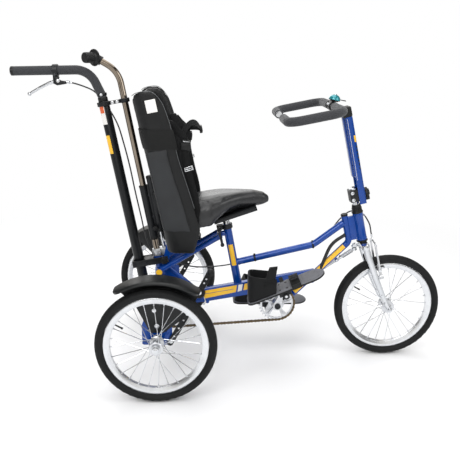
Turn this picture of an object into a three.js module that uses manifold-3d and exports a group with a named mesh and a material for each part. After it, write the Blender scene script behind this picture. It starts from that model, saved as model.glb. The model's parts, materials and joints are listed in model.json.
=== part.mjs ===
import * as THREE from 'three';
import { mergeVertices } from 'three/addons/utils/BufferGeometryUtils.js';
import Module from 'manifold-3d';

// Adaptive tricycle with rear steering column, push bar, supportive backrest and footplates.
// Millimetres. X points forward, Y to the rider's left, Z up. The ground is at zero.

const wasm = await Module();
wasm.setup();

const degree = Math.PI / 180;

// Clearances and facet counts shared by every piece
const gap = 0.3;
const runningGap = 0.5;
const overrun = 3;
const weld = 0.001;
const tubeSides = 10;
const thinSides = 6;
const cordSides = 5;
const roundSides = 16;
const wheelSides = 30;
const bendStep = 30 * degree;

// Overall stance: three equal wheels
const wheelRadius = 200;
const track = 651;

// Tyres, rims, spokes and hubs
const tyreDepth = { bead: 28.2, shoulder: 17, tread: 5 };
const tyre = {
  halfWidth: 22, innerRadius: wheelRadius - tyreDepth.bead, shoulderRadius: wheelRadius - tyreDepth.shoulder,
  treadRadius: wheelRadius - tyreDepth.tread, treadHalf: 16, crownHalf: 5,
};
const rimDepth = { wall: 11, inner: 21 };
const rimRadius = tyre.innerRadius - runningGap;
const rim = {
  radius: rimRadius, wallRadius: rimRadius - rimDepth.wall, innerRadius: rimRadius - rimDepth.inner,
  halfWidth: 12.5, innerHalf: 7, spokeSeat: 2,
};
const hub = { bodyRadius: 13, flangeRadius: 24, flangeHalf: 3, flangeY: 22, halfWidth: 31 };
const spoke = { count: 18, radius: 1.4, sides: 3, laceAngle: 28 * degree, seatRadius: 21 };

// Live rear axle
const axle = { radius: 8.5, nutRadius: 13, nutLength: 9 };

// Drive train: half-inch chain
const chainPitch = 12.7;
const chain = { plateHalfHeight: 4.2, plate: 1.6, innerWidth: 5, rollerRadius: 3.2, rollerSides: 5, wrapSteps: 12, leadIn: 2.5 };
const chainY = -45;
const ringTeeth = 32;
const sprocketTeeth = 34;
const tooth = { rise: 3.8, root: 3.6, thickness: 3 };
const toothShares = { rootStartShare: -0.16, rootEndShare: 0.16, tipStartShare: 0.41, tipEndShare: 0.59 };

// Bottom bracket and cranks
const bracket = { x: 424, z: 226, shellRadius: 20, shellHalf: 34 };
const crank = {
  length: 78, lean: 14 * degree, bossRadius: 17, endRadius: 11, thickness: 12,
  faceY: 61, spindleRadius: 8.5, capDepth: 4, webHalf: 9,
};
const ringWindow = { inner: 26, outer: 55, count: 5, halfAngle: 25 * degree, steps: 3 };

// Pedal foot plates
const pedal = {
  pinRadius: 6, pinLength: 92, housingRadius: 12, top: 27, thickness: 8,
  heelReach: 136, toeReach: 156, halfWidth: 48, innerY: 4, clipLength: 44, clipHalf: 34,
  nearPitch: 22.7 * degree, sleeveInset: 2,
};
const heelCup = {
  wall: 8, height: 92, frontHeight: 47, depth: 108, lean: 0.4, floor: 4, heelInset: 4, bendSteps: 4,
};
const heelFlapShares = [[-0.42, 1.1], [-0.06, 0.94], [0.2, 1.96], [-0.06, 2.13]];
const toeStrap = { x: 30, width: 34, thickness: 3, arch: 16, steps: 6 };
const toeGrip = { clearance: 10, inset: 8, rise: 1 };

// Main beam of rectangular tube
const beam = { rearX: 50, frontX: 566, midX: 245, midZ: 261.5, slope: 10.3 * degree, height: 50, width: 25 };

// Seat tube and saddle
const seatTube = { footX: 282, footZ: 284, lean: 10.9 * degree, length: 242, radius: 15, boreDepth: 170 };
const seatTopX = seatTube.footX - seatTube.length * Math.sin(seatTube.lean);
const seatTopZ = seatTube.footZ + seatTube.length * Math.cos(seatTube.lean);
const seatPost = {
  radius: 12, inset: 12, plateHalf: 40, plateThickness: 16, rearX: seatTopX - 42, frontX: seatTopX + 107,
  rearZ: seatTopZ + 5.4, frontZ: seatTopZ + 57.4,
};
const saddle = { rearX: seatTopX - 146, length: 298, halfWidth: 112, topZ: seatTopZ + 123.4, depth: 119 };
const seatCollar = {
  outerRadius: 20, height: 18, earLength: 18, earHalf: 12, camRadius: 7, leverY: 48, leverLength: 62, leverWidth: 14, leverThick: 7,
};

// Head tube, upright behind it and the tubes that reach it
const head = { x: 725, z: 513, lean: 13.4 * degree, length: 104, radius: 19 };
const upright = { offset: 49, radius: 12, topReach: 52, bottomReach: -50 };
const downTube = { footX: 470, footZ: 228 };
const topTube = { radius: 12.5, rearX: 268, rearZ: 372, bendX: 557, bendZ: 441, headX: 664, headZ: 524, bend: 60 };
const headGusset = { thickness: 14, top: 44, bottom: -46 };

// Rear end of the frame
const rearLean = 10.4 * degree;
const column = { x: -24, z: 458, radius: 11, footZ: 228, bearingRadius: 17, bearingTopZ: 401, bearingFootZ: 240 };
const rails = { rearX: -5, rearZ: 353, frontX: 211, slope: 31 * degree, halfSpread: 34, endHalf: 44, radius: 10, stubRise: 4 };
const capTube = { x: -8, z: 349, radius: 11.5, half: 45 };
const crossTube = { x: 2, z: 318, radius: 15 };
const stay = { rearX: -2, rearZ: 378, frontX: 165, frontZ: 227, radius: 9 };
const web = { thickness: 8, rearX: 6, lowZ: 244, midX: 122, midZ: 262, topX: 62, topZ: 322, highZ: 374 };
const hubPlate = {
  y: 279, thickness: 6, halfWidth: 50, bottomZ: 184, shoulderZ: 252, topZ: 336, topHalf: 22, housingRadius: 19, housingHalf: 7,
};
const hangers = { nearY: -72, farY: 78, thickness: 8, halfWidth: 19, bottomZ: 181 };
const lugs = { y: 21, thickness: 4, lowX: 8, lowZ: 350, topX: 29, topZ: 449, halfWidth: 11 };
const pushSocket = { z: 258, radius: 12, ringRadius: 24, height: 28 };

// Push bar behind the steering column
const pushBar = {
  offset: -71.5, radius: 18, footU: -262, collarU: 517, gripRadius: 15.2, cornerX: -231, cornerZ: 1057, gripEndX: -489,
  gripEndZ: 1050, bend: 70,
};
const pushBracket = {
  lowU: -83, height: 24, plate: 4, y: 25, rearReach: 24, frontF: 36, knobRadius: 12, knobLength: 16, knobF: 22,
};
const columnLink = { u: 508, height: 14, halfWidth: 9, ringRadius: 17, wall: 5 };

// Rear steering column with its bent handle
const handle = { bendU: 606, rise: 50 * degree, reach: 86, bend: 110 };
const handleGrip = {
  turn: 48 * degree, flangeRadius: 28, flange: 7, radius: 17.5, length: 46, neckRadius: 15, neckLength: 22,
};
const steeringArm = { across: 45, back: 26, hubRadius: 17, endRadius: 10, thickness: 8 };
const dragLink = { radius: 6, eyeRadius: 9, eyeHeight: 14, pinRadius: 4, dipX: 66, dipZ: 221, riseX: 548, riseZ: 290, frontGap: 2 };

// Cast clamp that holds the column guide and the backrest post
const castClamp = { lowU: -57, height: 27, halfWidth: 17.5, frontPad: 15 };

// Backrest carriage and inner post
const backPost = { offset: 29.5, innerRadius: 9, outerRadius: 14, innerFootU: -56, innerTopU: 130, lowU: 32, topU: 236 };
const sleeve = { radius: 15, lowU: 6, topU: 208 };
const postWeb = { halfWidth: 8 };
const carriagePad = { halfWidth: 22, rearF: -23, lowU: 60, topU: 140 };

// Backrest shell, pad, strap and harness, in the leaning frame of the backrest
const backrest = {
  x: 20, z: 505, lean: 11.7 * degree, depth: 130, height: 500, halfWidth: 150, shell: 8, padThickness: 20,
  cornerRadius: 32, cornerSteps: 4, padInset: 6,
};
const wingShares = [
  [0, -0.11], [0.7, -0.14], [0.83, -0.08], [1, 0.02], [0.83, 0.514], [0.823, 0.728], [0.76, 0.878], [0.65, 0.948],
  [0.49, 0.986], [0.22, 0.992], [0.06, 0.978], [0, 0.93],
];
const backStrap = { lowZ: 813, highZ: 877, lowShare: 0.5, highShare: 0.85, frontShare: 0.85, thickness: 3 };
const harness = {
  width: 7, rearF: 92, bandLowShare: 0.63, bandHeight: 30, thickness: 4, bulgeF: 194, bandF: 118, steps: 8,
};
const harnessShares = [
  [0.86, 0.77], [0.93, 0.72], [1.15, 0.64], [1.18, 0.59], [1.08, 0.524], [1.06, 0.4], [1.085, 0.26], [1.07, 0.16],
  [0.98, 0.09], [0.88, 0.068],
];

// Fork and front brake, in the leaning frame of the head tube
const forkRake = 48.1;
const forkDrop = (head.z - wheelRadius + forkRake * Math.sin(head.lean)) / Math.cos(head.lean);
const wheelbase = head.x + forkRake * Math.cos(head.lean) + forkDrop * Math.sin(head.lean);
const fork = {
  rake: forkRake, drop: forkDrop, spread: 45, steererRadius: 12.4, steererTop: 109, crownTop: -60, crownHeight: 22,
  crownHalf: 58, crownDepth: 15, bladeTop: 12.5, bladeFoot: 8, axleRadius: 4.6, nutRadius: 9, nutLength: 8, tabThickness: 5,
};
const forkBladeShares = { dropShare: [0.2, 0.4, 0.68, 0.9, 0.985], rakeShare: [0, 0.16, 0.46, 0.76, 0.96], widthShare: [1, 1, 0.85, 0.3, 0] };
const headCover = { height: 32, footRadius: 20, neckRadius: 13.4, brim: 6 };
const lowerCup = { height: 7, radius: 20.5 };
const brakeDrop = { pivot: 36.1, pad: 10.1, top: 91.9 };
const brakeArm = {
  f: 38, pivotU: -forkDrop + rim.radius - brakeDrop.pivot, topU: -forkDrop + rim.radius + brakeDrop.top, pivotY: 44, padY: 38,
  topY: 34, width: 12, thickness: 8, bossRadius: 6, padU: -forkDrop + rim.radius - brakeDrop.pad, padLength: 50, padHeight: 8, padDepth: 8, padReach: 14.5, postRadius: 4,
};

// Handlebar post, its clamp and the handlebar
const barPost = {
  rearF: 10, depth: 24, halfWidth: 25, lowU: 86, topU: 402, wall: 3, hollowTopU: 186, railRearF: 2, railHalf: 12,
  railLowU: 188, slotHalf: 5, slotLowU: 106, slotTopU: 172,
};
const postCap = { height: 34, wall: 1 };
const postClamp = { lowU: 97, height: 45, rearF: -20, halfWidth: 21.5, boltU: 116, boltRadius: 4, boltEndF: 44 };
const postKnob = { radius: 24, height: 17, lobes: 3, hubRadius: 12, steps: 4 };
const bar = {
  f: -23.5, u: 448.3, radius: 11, foamRadius: 15, halfSpread: 212, armLength: 180, tilt: 11.6 * degree, turnIn: 144, bend: 46,
  bareHalf: 46,
};
const barClamp = { radius: 16.5, halfWidth: 19, armHalf: 14, armHeight: 30 };
const bell = { y: -6, turn: 25 * degree, radius: 20, height: 24, baseHeight: 5, leverLength: 20, leverWidth: 9, leverThick: 3 };

// Chain guard and parking lever outside the chain
const guard = { pivotX: 137, pivotZ: 277, y: 56.5, plate: 2, rearReach: 8, length: 262, halfHeight: 25, lobe: 20, bossRadius: 7, bossRearX: 30, bossFrontX: 196, bossDrop: 8 };
const parking = { y: 57.8, hubRadius: 22, hubDepth: 7, length: 96, halfWidth: 11, plate: 5, turn: 27 * degree, holeRadius: 3.6, knobRadius: 13, knobLength: 30 };

// Rear mudguards
const fender = {
  radius: wheelRadius + 32, thickness: 3, innerY: 282.3, outerY: 357, rearAngle: -35 * degree, frontAngle: 40 * degree, steps: 12,
  panelRearX: -66, panelRearZ: 318, panelFrontX: 100, panelFrontZ: 286, footHalf: 22, footZ: 226,
  strapTopX: 104, strapTopZ: 300, strapFootX: 43, strapFootZ: 190, strapHalf: 10, holeRadius: 3.4,
};

// Brake lever on the push bar
const lever = {
  clampX: -342, ringRadius: 20, ringHalf: 9, bodyLength: 44, bodyHalf: 9, bodyDrop: 50, pivotX: -334, pivotZ: 1020,
  tipX: -433, tipZ: 976, kneeX: -365, kneeZ: 1012, radius: 5.5, eyeRadius: 8, pinRadius: 3.5,
};

// Materials
const paint = new THREE.MeshStandardMaterial({ color: '#0b3fa8', roughness: 0.28, metalness: 0.45 });
const chrome = new THREE.MeshStandardMaterial({ color: '#c9ccd0', roughness: 0.18, metalness: 0.95 });
const castMetal = new THREE.MeshStandardMaterial({ color: '#d2d4d6', roughness: 0.4, metalness: 0.85 });
const rubber = new THREE.MeshStandardMaterial({ color: '#17181a', roughness: 0.85, metalness: 0 });
const foam = new THREE.MeshStandardMaterial({ color: '#2b2c2e', roughness: 0.9, metalness: 0 });
const blackPlastic = new THREE.MeshStandardMaterial({ color: '#1b1c1e', roughness: 0.55, metalness: 0 });
const blackSteel = new THREE.MeshStandardMaterial({ color: '#202225', roughness: 0.42, metalness: 0.3 });
const vinyl = new THREE.MeshStandardMaterial({ color: '#1d1e20', roughness: 0.6, metalness: 0 });
const webbing = new THREE.MeshStandardMaterial({ color: '#141516', roughness: 0.9, metalness: 0 });
const greyTread = new THREE.MeshStandardMaterial({ color: '#77787d', roughness: 0.8, metalness: 0 });
const chainSteel = new THREE.MeshStandardMaterial({ color: '#5d5142', roughness: 0.45, metalness: 0.8 });
const tealPaint = new THREE.MeshStandardMaterial({ color: '#0c8a94', roughness: 0.25, metalness: 0.5 });

// Solids: every geometry is welded, turned outward and, where needed, joined or cut
function solidOf(geometry) {
  const bare = geometry.clone();
  bare.deleteAttribute('normal');
  bare.deleteAttribute('uv');
  bare.clearGroups();
  const welded = mergeVertices(bare, weld);
  const places = welded.attributes.position.array;
  const kept = [];
  let volume = 0;
  const corner = [new THREE.Vector3(), new THREE.Vector3(), new THREE.Vector3()];
  for (let i = 0; i < welded.index.count; i += 3) {
    const [a, b, c] = [welded.index.getX(i), welded.index.getX(i + 1), welded.index.getX(i + 2)];
    if (a === b || b === c || c === a) continue;
    kept.push(a, b, c);
    [a, b, c].forEach((index, k) => corner[k].fromArray(places, index * 3));
    volume += corner[0].dot(corner[1].cross(corner[2]));
  }
  if (volume < 0) kept.reverse();
  return new wasm.Manifold(new wasm.Mesh({
    numProp: 3,
    vertProperties: Float32Array.from(places),
    triVerts: Uint32Array.from(kept),
  }));
}

function geometryOf(solid) {
  const mesh = solid.getMesh();
  const geometry = new THREE.BufferGeometry();
  geometry.setAttribute('position', new THREE.BufferAttribute(Float32Array.from(mesh.vertProperties), 3));
  geometry.setIndex(new THREE.BufferAttribute(Uint32Array.from(mesh.triVerts), 1));
  return geometry;
}

function join(...pieces) {
  return geometryOf(pieces.map(solidOf).reduce((whole, piece) => whole.add(piece)));
}

function cut(piece, ...cutters) {
  return geometryOf(cutters.map(solidOf).reduce((whole, cutter) => whole.subtract(cutter), solidOf(piece)));
}

function common(piece, other) {
  return geometryOf(solidOf(piece).intersect(solidOf(other)));
}

// Placed primitives
function vec(x, y, z) {
  return new THREE.Vector3(x, y, z);
}

function block(x0, x1, y0, y1, z0, z1) {
  const geometry = new THREE.BoxGeometry(x1 - x0, y1 - y0, z1 - z0);
  return geometry.translate((x0 + x1) / 2, (y0 + y1) / 2, (z0 + z1) / 2);
}

function rod(from, to, radius, sides = tubeSides, endRadius = radius) {
  const along = to.clone().sub(from);
  const geometry = new THREE.CylinderGeometry(endRadius, radius, along.length(), sides);
  geometry.applyQuaternion(new THREE.Quaternion().setFromUnitVectors(vec(0, 1, 0), along.clone().normalize()));
  return geometry.translate(...from.clone().add(to).multiplyScalar(0.5).toArray());
}

function rodAcross(x, z, y0, y1, radius, sides = tubeSides) {
  return rod(vec(x, y0, z), vec(x, y1, z), radius, sides);
}

// A hole whose flats clear a round bar at any turn
function bore(from, to, radius, clearance = gap, sides = tubeSides) {
  return rod(from, to, (radius + clearance) / Math.cos(Math.PI / sides), sides);
}

function boreAcross(x, z, y0, y1, radius, clearance = gap) {
  return bore(vec(x, y0, z), vec(x, y1, z), radius, clearance);
}

// An outline in the X-Z plane, given thickness from y0 to y1
function slab(outline, y0, y1, holes = []) {
  const shape = new THREE.Shape(outline.map(([x, z]) => new THREE.Vector2(x, z)));
  holes.forEach((hole) => shape.holes.push(new THREE.Path(hole.map(([x, z]) => new THREE.Vector2(x, z)))));
  const geometry = new THREE.ExtrudeGeometry(shape, { depth: y1 - y0, bevelEnabled: false, curveSegments: tubeSides });
  return geometry.rotateX(Math.PI / 2).translate(0, y1, 0);
}

// An outline in the X-Y plane, given height from z0 to z1
function slice(outline, z0, z1, holes = []) {
  const shape = new THREE.Shape(outline.map(([x, y]) => new THREE.Vector2(x, y)));
  holes.forEach((hole) => shape.holes.push(new THREE.Path(hole.map(([x, y]) => new THREE.Vector2(x, y)))));
  return new THREE.ExtrudeGeometry(shape, { depth: z1 - z0, bevelEnabled: false }).translate(0, 0, z0);
}

function arc(cx, cz, radius, from, to, steps) {
  return Array.from({ length: steps + 1 }, (_, i) => {
    const angle = from + (to - from) * i / steps;
    return [cx + radius * Math.cos(angle), cz + radius * Math.sin(angle)];
  });
}

// A bar with two round ends of different radius, outlined between two points
function capsule(x0, z0, r0, x1, z1, r1, steps = 6) {
  const heading = Math.atan2(z1 - z0, x1 - x0);
  return [
    ...arc(x0, z0, r0, heading + Math.PI / 2, heading + Math.PI * 3 / 2, steps),
    ...arc(x1, z1, r1, heading - Math.PI / 2, heading + Math.PI / 2, steps),
  ];
}

// A path of straight runs and round bends whose stations fall on the bends
class BentPath extends THREE.Curve {
  constructor(stations) {
    super();
    this.stations = stations;
  }

  getPoint(t, target = new THREE.Vector3()) {
    const last = this.stations.length - 1;
    const place = THREE.MathUtils.clamp(t, 0, 1) * last;
    const index = Math.min(Math.floor(place + weld), last - 1);
    return target.lerpVectors(this.stations[index], this.stations[index + 1], place - index);
  }

  getTangent(t, target = new THREE.Vector3()) {
    const last = this.stations.length - 1;
    const index = Math.round(THREE.MathUtils.clamp(t, 0, 1) * last);
    const here = this.stations[index];
    target.set(0, 0, 0);
    if (index > 0) target.add(here.clone().sub(this.stations[index - 1]).normalize());
    if (index < last) target.add(this.stations[index + 1].clone().sub(here).normalize());
    return target.normalize();
  }

  getUtoTmapping(u) {
    return u;
  }
}

function bentStations(points, bend) {
  const stations = [points[0]];
  for (let i = 1; i < points.length - 1; i++) {
    const into = points[i].clone().sub(points[i - 1]);
    const out = points[i + 1].clone().sub(points[i]);
    const turn = into.angleTo(out);
    const reach = Math.min(bend * Math.tan(turn / 2), into.length() * 0.49, out.length() * 0.49);
    const start = points[i].clone().addScaledVector(into.normalize(), -reach);
    const end = points[i].clone().addScaledVector(out.normalize(), reach);
    const steps = Math.max(2, Math.ceil(turn / bendStep));
    stations.push(...new THREE.QuadraticBezierCurve3(start, points[i], end).getPoints(steps));
  }
  stations.push(points[points.length - 1]);
  return stations;
}

function polygon(radius, sides) {
  return new THREE.Shape(arc(0, 0, radius, 0, 2 * Math.PI, sides).slice(0, sides).map(([x, y]) => new THREE.Vector2(x, y)));
}

function sweep(section, stations) {
  const steps = stations.length - 1;
  return new THREE.ExtrudeGeometry(section, { steps, extrudePath: new BentPath(stations), bevelEnabled: false });
}

function tube(points, radius, bend = radius, sides = tubeSides) {
  return sweep(polygon(radius, sides), bentStations(points, bend));
}

// A cable along hand-chosen points, on one smooth curve
function cable(points, radius, steps) {
  const curve = new THREE.CatmullRomCurve3(points, false, 'centripetal');
  return sweep(polygon(radius, cordSides), curve.getSpacedPoints(steps));
}

// A closed skin over rings that hold the same number of points
function loft(rings) {
  const count = rings[0].length;
  const points = rings.flat();
  const faces = [];
  for (let i = 0; i < rings.length - 1; i++) {
    for (let k = 0; k < count; k++) {
      const next = (k + 1) % count;
      const [a, b, c, d] = [i * count + k, i * count + next, (i + 1) * count + next, (i + 1) * count + k];
      faces.push(a, b, c, a, c, d);
    }
  }
  const ends = [0, rings.length - 1].map((index) => {
    points.push(rings[index].reduce((sum, p) => sum.add(p), new THREE.Vector3()).divideScalar(count));
    return points.length - 1;
  });
  for (let k = 0; k < count; k++) {
    const next = (k + 1) % count;
    const base = (rings.length - 1) * count;
    faces.push(next, k, ends[0], base + k, base + next, ends[1]);
  }
  return new THREE.BufferGeometry().setFromPoints(points).setIndex(faces);
}

function lathe(profile, sides = roundSides) {
  return new THREE.LatheGeometry(profile.map(([r, y]) => new THREE.Vector2(r, y)), sides);
}

// The assembly and its leaning frames
const tricycle = new THREE.Group();

function frameAt(x, z, lean, parent = tricycle) {
  const group = new THREE.Group();
  group.position.set(x, 0, z);
  group.rotation.y = -lean;
  parent.add(group);
  return group;
}

const steering = frameAt(head.x, head.z, head.lean);
const rear = frameAt(column.x, column.z, rearLean);
const backFrame = frameAt(backrest.x, backrest.z, backrest.lean);

function leaningPoint(group, f, y, u) {
  return vec(f, y, u).applyEuler(group.rotation).add(group.position);
}

function part(name, geometry, material, parent = tricycle) {
  const mesh = new THREE.Mesh(geometryOf(solidOf(geometry)), material);
  mesh.name = name;
  parent.add(mesh);
  return mesh;
}

const sides = [{ name: 'near', y: -1 }, { name: 'far', y: 1 }];

function mirrored(geometry, side) {
  return side > 0 ? geometry : geometry.clone().scale(1, -1, 1);
}

// Main frame
function columnX(z) {
  return column.x - (z - column.z) * Math.tan(rearLean);
}

function beamZ(x) {
  return beam.midZ + (x - beam.midX) * Math.tan(beam.slope);
}

function seatTubePoint(along) {
  return vec(seatTube.footX - along * Math.sin(seatTube.lean), 0, seatTube.footZ + along * Math.cos(seatTube.lean));
}

function mainBeam() {
  const half = beam.height / 2 / Math.cos(beam.slope);
  const outline = [
    [beam.rearX, beamZ(beam.rearX) - half], [beam.frontX, beamZ(beam.frontX) - half],
    [beam.frontX, beamZ(beam.frontX) + half], [beam.rearX, beamZ(beam.rearX) + half],
  ];
  return slab(outline, -beam.width / 2, beam.width / 2);
}

function headTubes() {
  const bottom = leaningPoint(steering, 0, 0, -head.length / 2);
  const top = leaningPoint(steering, 0, 0, head.length / 2);
  const uprightTop = leaningPoint(steering, -upright.offset, 0, upright.topReach);
  const uprightFoot = leaningPoint(steering, -upright.offset, 0, upright.bottomReach);
  const gusset = slab([
    [-upright.offset, headGusset.bottom], [0, headGusset.bottom], [0, headGusset.top], [-upright.offset, headGusset.top],
  ], -headGusset.thickness / 2, headGusset.thickness / 2);
  gusset.applyMatrix4(leaningMatrix(steering));
  return [
    rod(bottom, top, head.radius, roundSides),
    tube([uprightTop, uprightFoot, vec(downTube.footX, 0, downTube.footZ)], upright.radius, upright.radius * 2),
    tube([
      vec(topTube.rearX, 0, topTube.rearZ), vec(topTube.bendX, 0, topTube.bendZ), vec(topTube.headX, 0, topTube.headZ),
    ], topTube.radius, topTube.bend),
    gusset,
  ];
}

function leaningMatrix(group) {
  group.updateMatrix();
  return group.matrix;
}

function rearStructure() {
  const frontZ = rails.rearZ + (rails.frontX - rails.rearX) * Math.tan(rails.slope);
  const stubZ = frontZ + rails.stubRise;
  const stubX = seatTube.footX - (stubZ - seatTube.footZ) * Math.tan(seatTube.lean);
  const pieces = [
    rodAcross(rails.frontX, frontZ, -rails.endHalf, rails.endHalf, rails.radius),
    rod(vec(rails.frontX, 0, frontZ), vec(stubX, 0, stubZ), rails.radius),
  ];
  for (const { y } of sides) {
    pieces.push(rod(
      vec(rails.rearX, y * rails.halfSpread, rails.rearZ), vec(rails.frontX, y * rails.halfSpread, frontZ),
      rails.radius - weld * 10,
    ));
    const plate = slab([
      [-hubPlate.halfWidth, hubPlate.bottomZ], [hubPlate.halfWidth, hubPlate.bottomZ],
      [hubPlate.halfWidth, hubPlate.shoulderZ], [crossTube.x + hubPlate.topHalf, hubPlate.topZ],
      [crossTube.x - hubPlate.topHalf, hubPlate.topZ], [-hubPlate.halfWidth, hubPlate.shoulderZ],
    ], hubPlate.y - hubPlate.thickness / 2, hubPlate.y + hubPlate.thickness / 2);
    pieces.push(mirrored(plate, y));
    const inner = hubPlate.y + hubPlate.thickness / 2 - hubPlate.housingHalf * 2;
    const outer = hubPlate.y + hubPlate.thickness / 2 - weld;
    pieces.push(rodAcross(0, wheelRadius, y * inner, y * outer, hubPlate.housingRadius, roundSides));
    pieces.push(slab([
      [lugs.lowX - lugs.halfWidth, lugs.lowZ], [lugs.lowX + lugs.halfWidth, lugs.lowZ],
      [lugs.topX + lugs.halfWidth, lugs.topZ], [lugs.topX - lugs.halfWidth, lugs.topZ],
    ], y * lugs.y - lugs.thickness / 2, y * lugs.y + lugs.thickness / 2));
  }
  for (const y of [hangers.nearY, hangers.farY]) {
    pieces.push(slab([
      ...arc(0, wheelRadius, hangers.halfWidth, Math.PI, 2 * Math.PI, 6),
      [crossTube.x + hangers.halfWidth, crossTube.z], [crossTube.x - hangers.halfWidth, crossTube.z],
    ], y - hangers.thickness / 2, y + hangers.thickness / 2));
  }
  pieces.push(rodAcross(crossTube.x, crossTube.z, -hubPlate.y, hubPlate.y, crossTube.radius));
  pieces.push(rodAcross(capTube.x, capTube.z, -capTube.half, capTube.half, capTube.radius));
  pieces.push(rod(vec(stay.rearX, 0, stay.rearZ), vec(stay.frontX, 0, stay.frontZ), stay.radius));
  pieces.push(slab([
    [web.rearX, web.lowZ], [beam.rearX + web.thickness, web.lowZ], [web.midX, web.midZ],
    [web.topX, web.topZ], [web.rearX, web.highZ],
  ], -web.thickness / 2, web.thickness / 2));
  pieces.push(rod(
    vec(columnX(column.bearingFootZ), 0, column.bearingFootZ),
    vec(columnX(column.bearingTopZ), 0, column.bearingTopZ), column.bearingRadius, roundSides,
  ));
  const socketX = columnX(pushSocket.z) + pushBar.offset / Math.cos(rearLean);
  pieces.push(rod(vec(columnX(pushSocket.z), 0, pushSocket.z), vec(socketX, 0, pushSocket.z), pushSocket.radius));
  const socketHalf = pushSocket.height / 2;
  const socketU = (pushSocket.z - column.z) / Math.cos(rearLean) - pushBar.offset * Math.tan(rearLean);
  pieces.push(rod(
    leaningPoint(rear, pushBar.offset, 0, socketU - socketHalf),
    leaningPoint(rear, pushBar.offset, 0, socketU + socketHalf), pushSocket.ringRadius, roundSides,
  ));
  return pieces;
}

function crankHousing() {
  const hangerTop = beamZ(bracket.x);
  return [
    rodAcross(bracket.x, bracket.z, -bracket.shellHalf, bracket.shellHalf, bracket.shellRadius, roundSides),
    block(bracket.x - bracket.shellRadius, bracket.x + bracket.shellRadius, -beam.width / 2, beam.width / 2, bracket.z, hangerTop),
  ];
}

function frameBores() {
  const boreTop = seatTubePoint(seatTube.length + overrun);
  const boreFoot = seatTubePoint(seatTube.length - seatTube.boreDepth);
  const headHalf = head.length / 2 + overrun;
  const housing = hubPlate.housingHalf * 3;
  const axleBore = (y) => boreAcross(0, wheelRadius, y - housing, y + housing, axle.radius, runningGap);
  return [
    bore(boreFoot, boreTop, seatPost.radius),
    bore(leaningPoint(steering, 0, 0, -headHalf), leaningPoint(steering, 0, 0, headHalf), fork.steererRadius, runningGap),
    bore(
      vec(columnX(column.bearingFootZ - overrun), 0, column.bearingFootZ - overrun),
      vec(columnX(column.bearingTopZ + overrun), 0, column.bearingTopZ + overrun), column.radius, runningGap,
    ),
    bore(
      leaningPoint(rear, pushBar.offset, 0, pushBar.footU - overrun), leaningPoint(rear, pushBar.offset, 0, 0),
      pushBar.radius,
    ),
    boreAcross(
      bracket.x, bracket.z, -bracket.shellHalf - overrun, bracket.shellHalf + overrun, crank.spindleRadius, runningGap,
    ),
    ...[-hubPlate.y, hangers.nearY, hangers.farY, hubPlate.y].map(axleBore),
  ];
}

function mainFrame() {
  const tubes = [
    mainBeam(),
    rod(seatTubePoint(0), seatTubePoint(seatTube.length), seatTube.radius),
    ...headTubes(),
    ...rearStructure(),
    ...crankHousing(),
  ];
  return cut(join(...tubes), ...frameBores());
}

part('main_frame', mainFrame(), paint);

// Wheels
function wheelGeometry() {
  const rimRing = lathe([
    [rim.innerRadius, -rim.innerHalf], [rim.innerRadius, rim.innerHalf], [rim.wallRadius, rim.halfWidth],
    [rim.radius, rim.halfWidth], [rim.radius, -rim.halfWidth], [rim.wallRadius, -rim.halfWidth],
    [rim.innerRadius, -rim.innerHalf],
  ], wheelSides);
  const barrel = rodAcross(0, 0, -hub.halfWidth, hub.halfWidth, hub.bodyRadius);
  const flanges = sides.map(({ y }) => rodAcross(
    0, 0, y * hub.flangeY - hub.flangeHalf, y * hub.flangeY + hub.flangeHalf, hub.flangeRadius, roundSides,
  ));
  const seat = rim.innerRadius + rim.spokeSeat;
  const spokes = Array.from({ length: spoke.count }, (_, i) => {
    const side = i % 2 ? 1 : -1;
    const rimAngle = i / spoke.count * 2 * Math.PI;
    const hubAngle = rimAngle + (i % 4 < 2 ? 1 : -1) * spoke.laceAngle;
    return rod(
      vec(spoke.seatRadius * Math.cos(hubAngle), side * hub.flangeY, spoke.seatRadius * Math.sin(hubAngle)),
      vec(seat * Math.cos(rimAngle), 0, seat * Math.sin(rimAngle)), spoke.radius, spoke.sides,
    );
  });
  return join(rimRing, barrel, ...flanges, ...spokes);
}

function tyreGeometry() {
  const profile = [
    [tyre.innerRadius, rim.halfWidth], [tyre.shoulderRadius, tyre.halfWidth], [tyre.treadRadius, tyre.treadHalf],
    [wheelRadius, tyre.crownHalf],
  ];
  const mirror = profile.map(([r, y]) => [r, -y]).reverse();
  return lathe([...profile, ...mirror, profile[0]], wheelSides);
}

function wheelBore(radius) {
  return boreAcross(0, 0, -hub.halfWidth - overrun, hub.halfWidth + overrun, radius);
}

const bareWheel = wheelGeometry();
const tyreRing = tyreGeometry();
const rearWheelGeometry = cut(bareWheel, wheelBore(axle.radius));
for (const { name, y } of sides) {
  part(`${name}_tyre`, tyreRing, rubber).position.set(0, y * track / 2, wheelRadius);
  part(`${name}_wheel`, rearWheelGeometry, chrome).position.set(0, y * track / 2, wheelRadius);
}
part('front_tyre', tyreRing, rubber).position.set(wheelbase, 0, wheelRadius);
part('front_wheel', cut(bareWheel, wheelBore(fork.axleRadius)), chrome).position.set(wheelbase, 0, wheelRadius);

// Toothed wheels of the chain drive
function pitchRadius(teeth) {
  return chainPitch / 2 / Math.sin(Math.PI / teeth);
}

function toothedOutline(teeth) {
  const radius = pitchRadius(teeth);
  const outline = [];
  for (let i = 0; i < teeth; i++) {
    const at = (share, r) => {
      const angle = (i + share) / teeth * 2 * Math.PI;
      return [r * Math.cos(angle), r * Math.sin(angle)];
    };
    outline.push(at(toothShares.rootStartShare, radius - tooth.root), at(toothShares.rootEndShare, radius - tooth.root));
    outline.push(at(toothShares.tipStartShare, radius + tooth.rise), at(toothShares.tipEndShare, radius + tooth.rise));
  }
  return outline;
}

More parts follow.
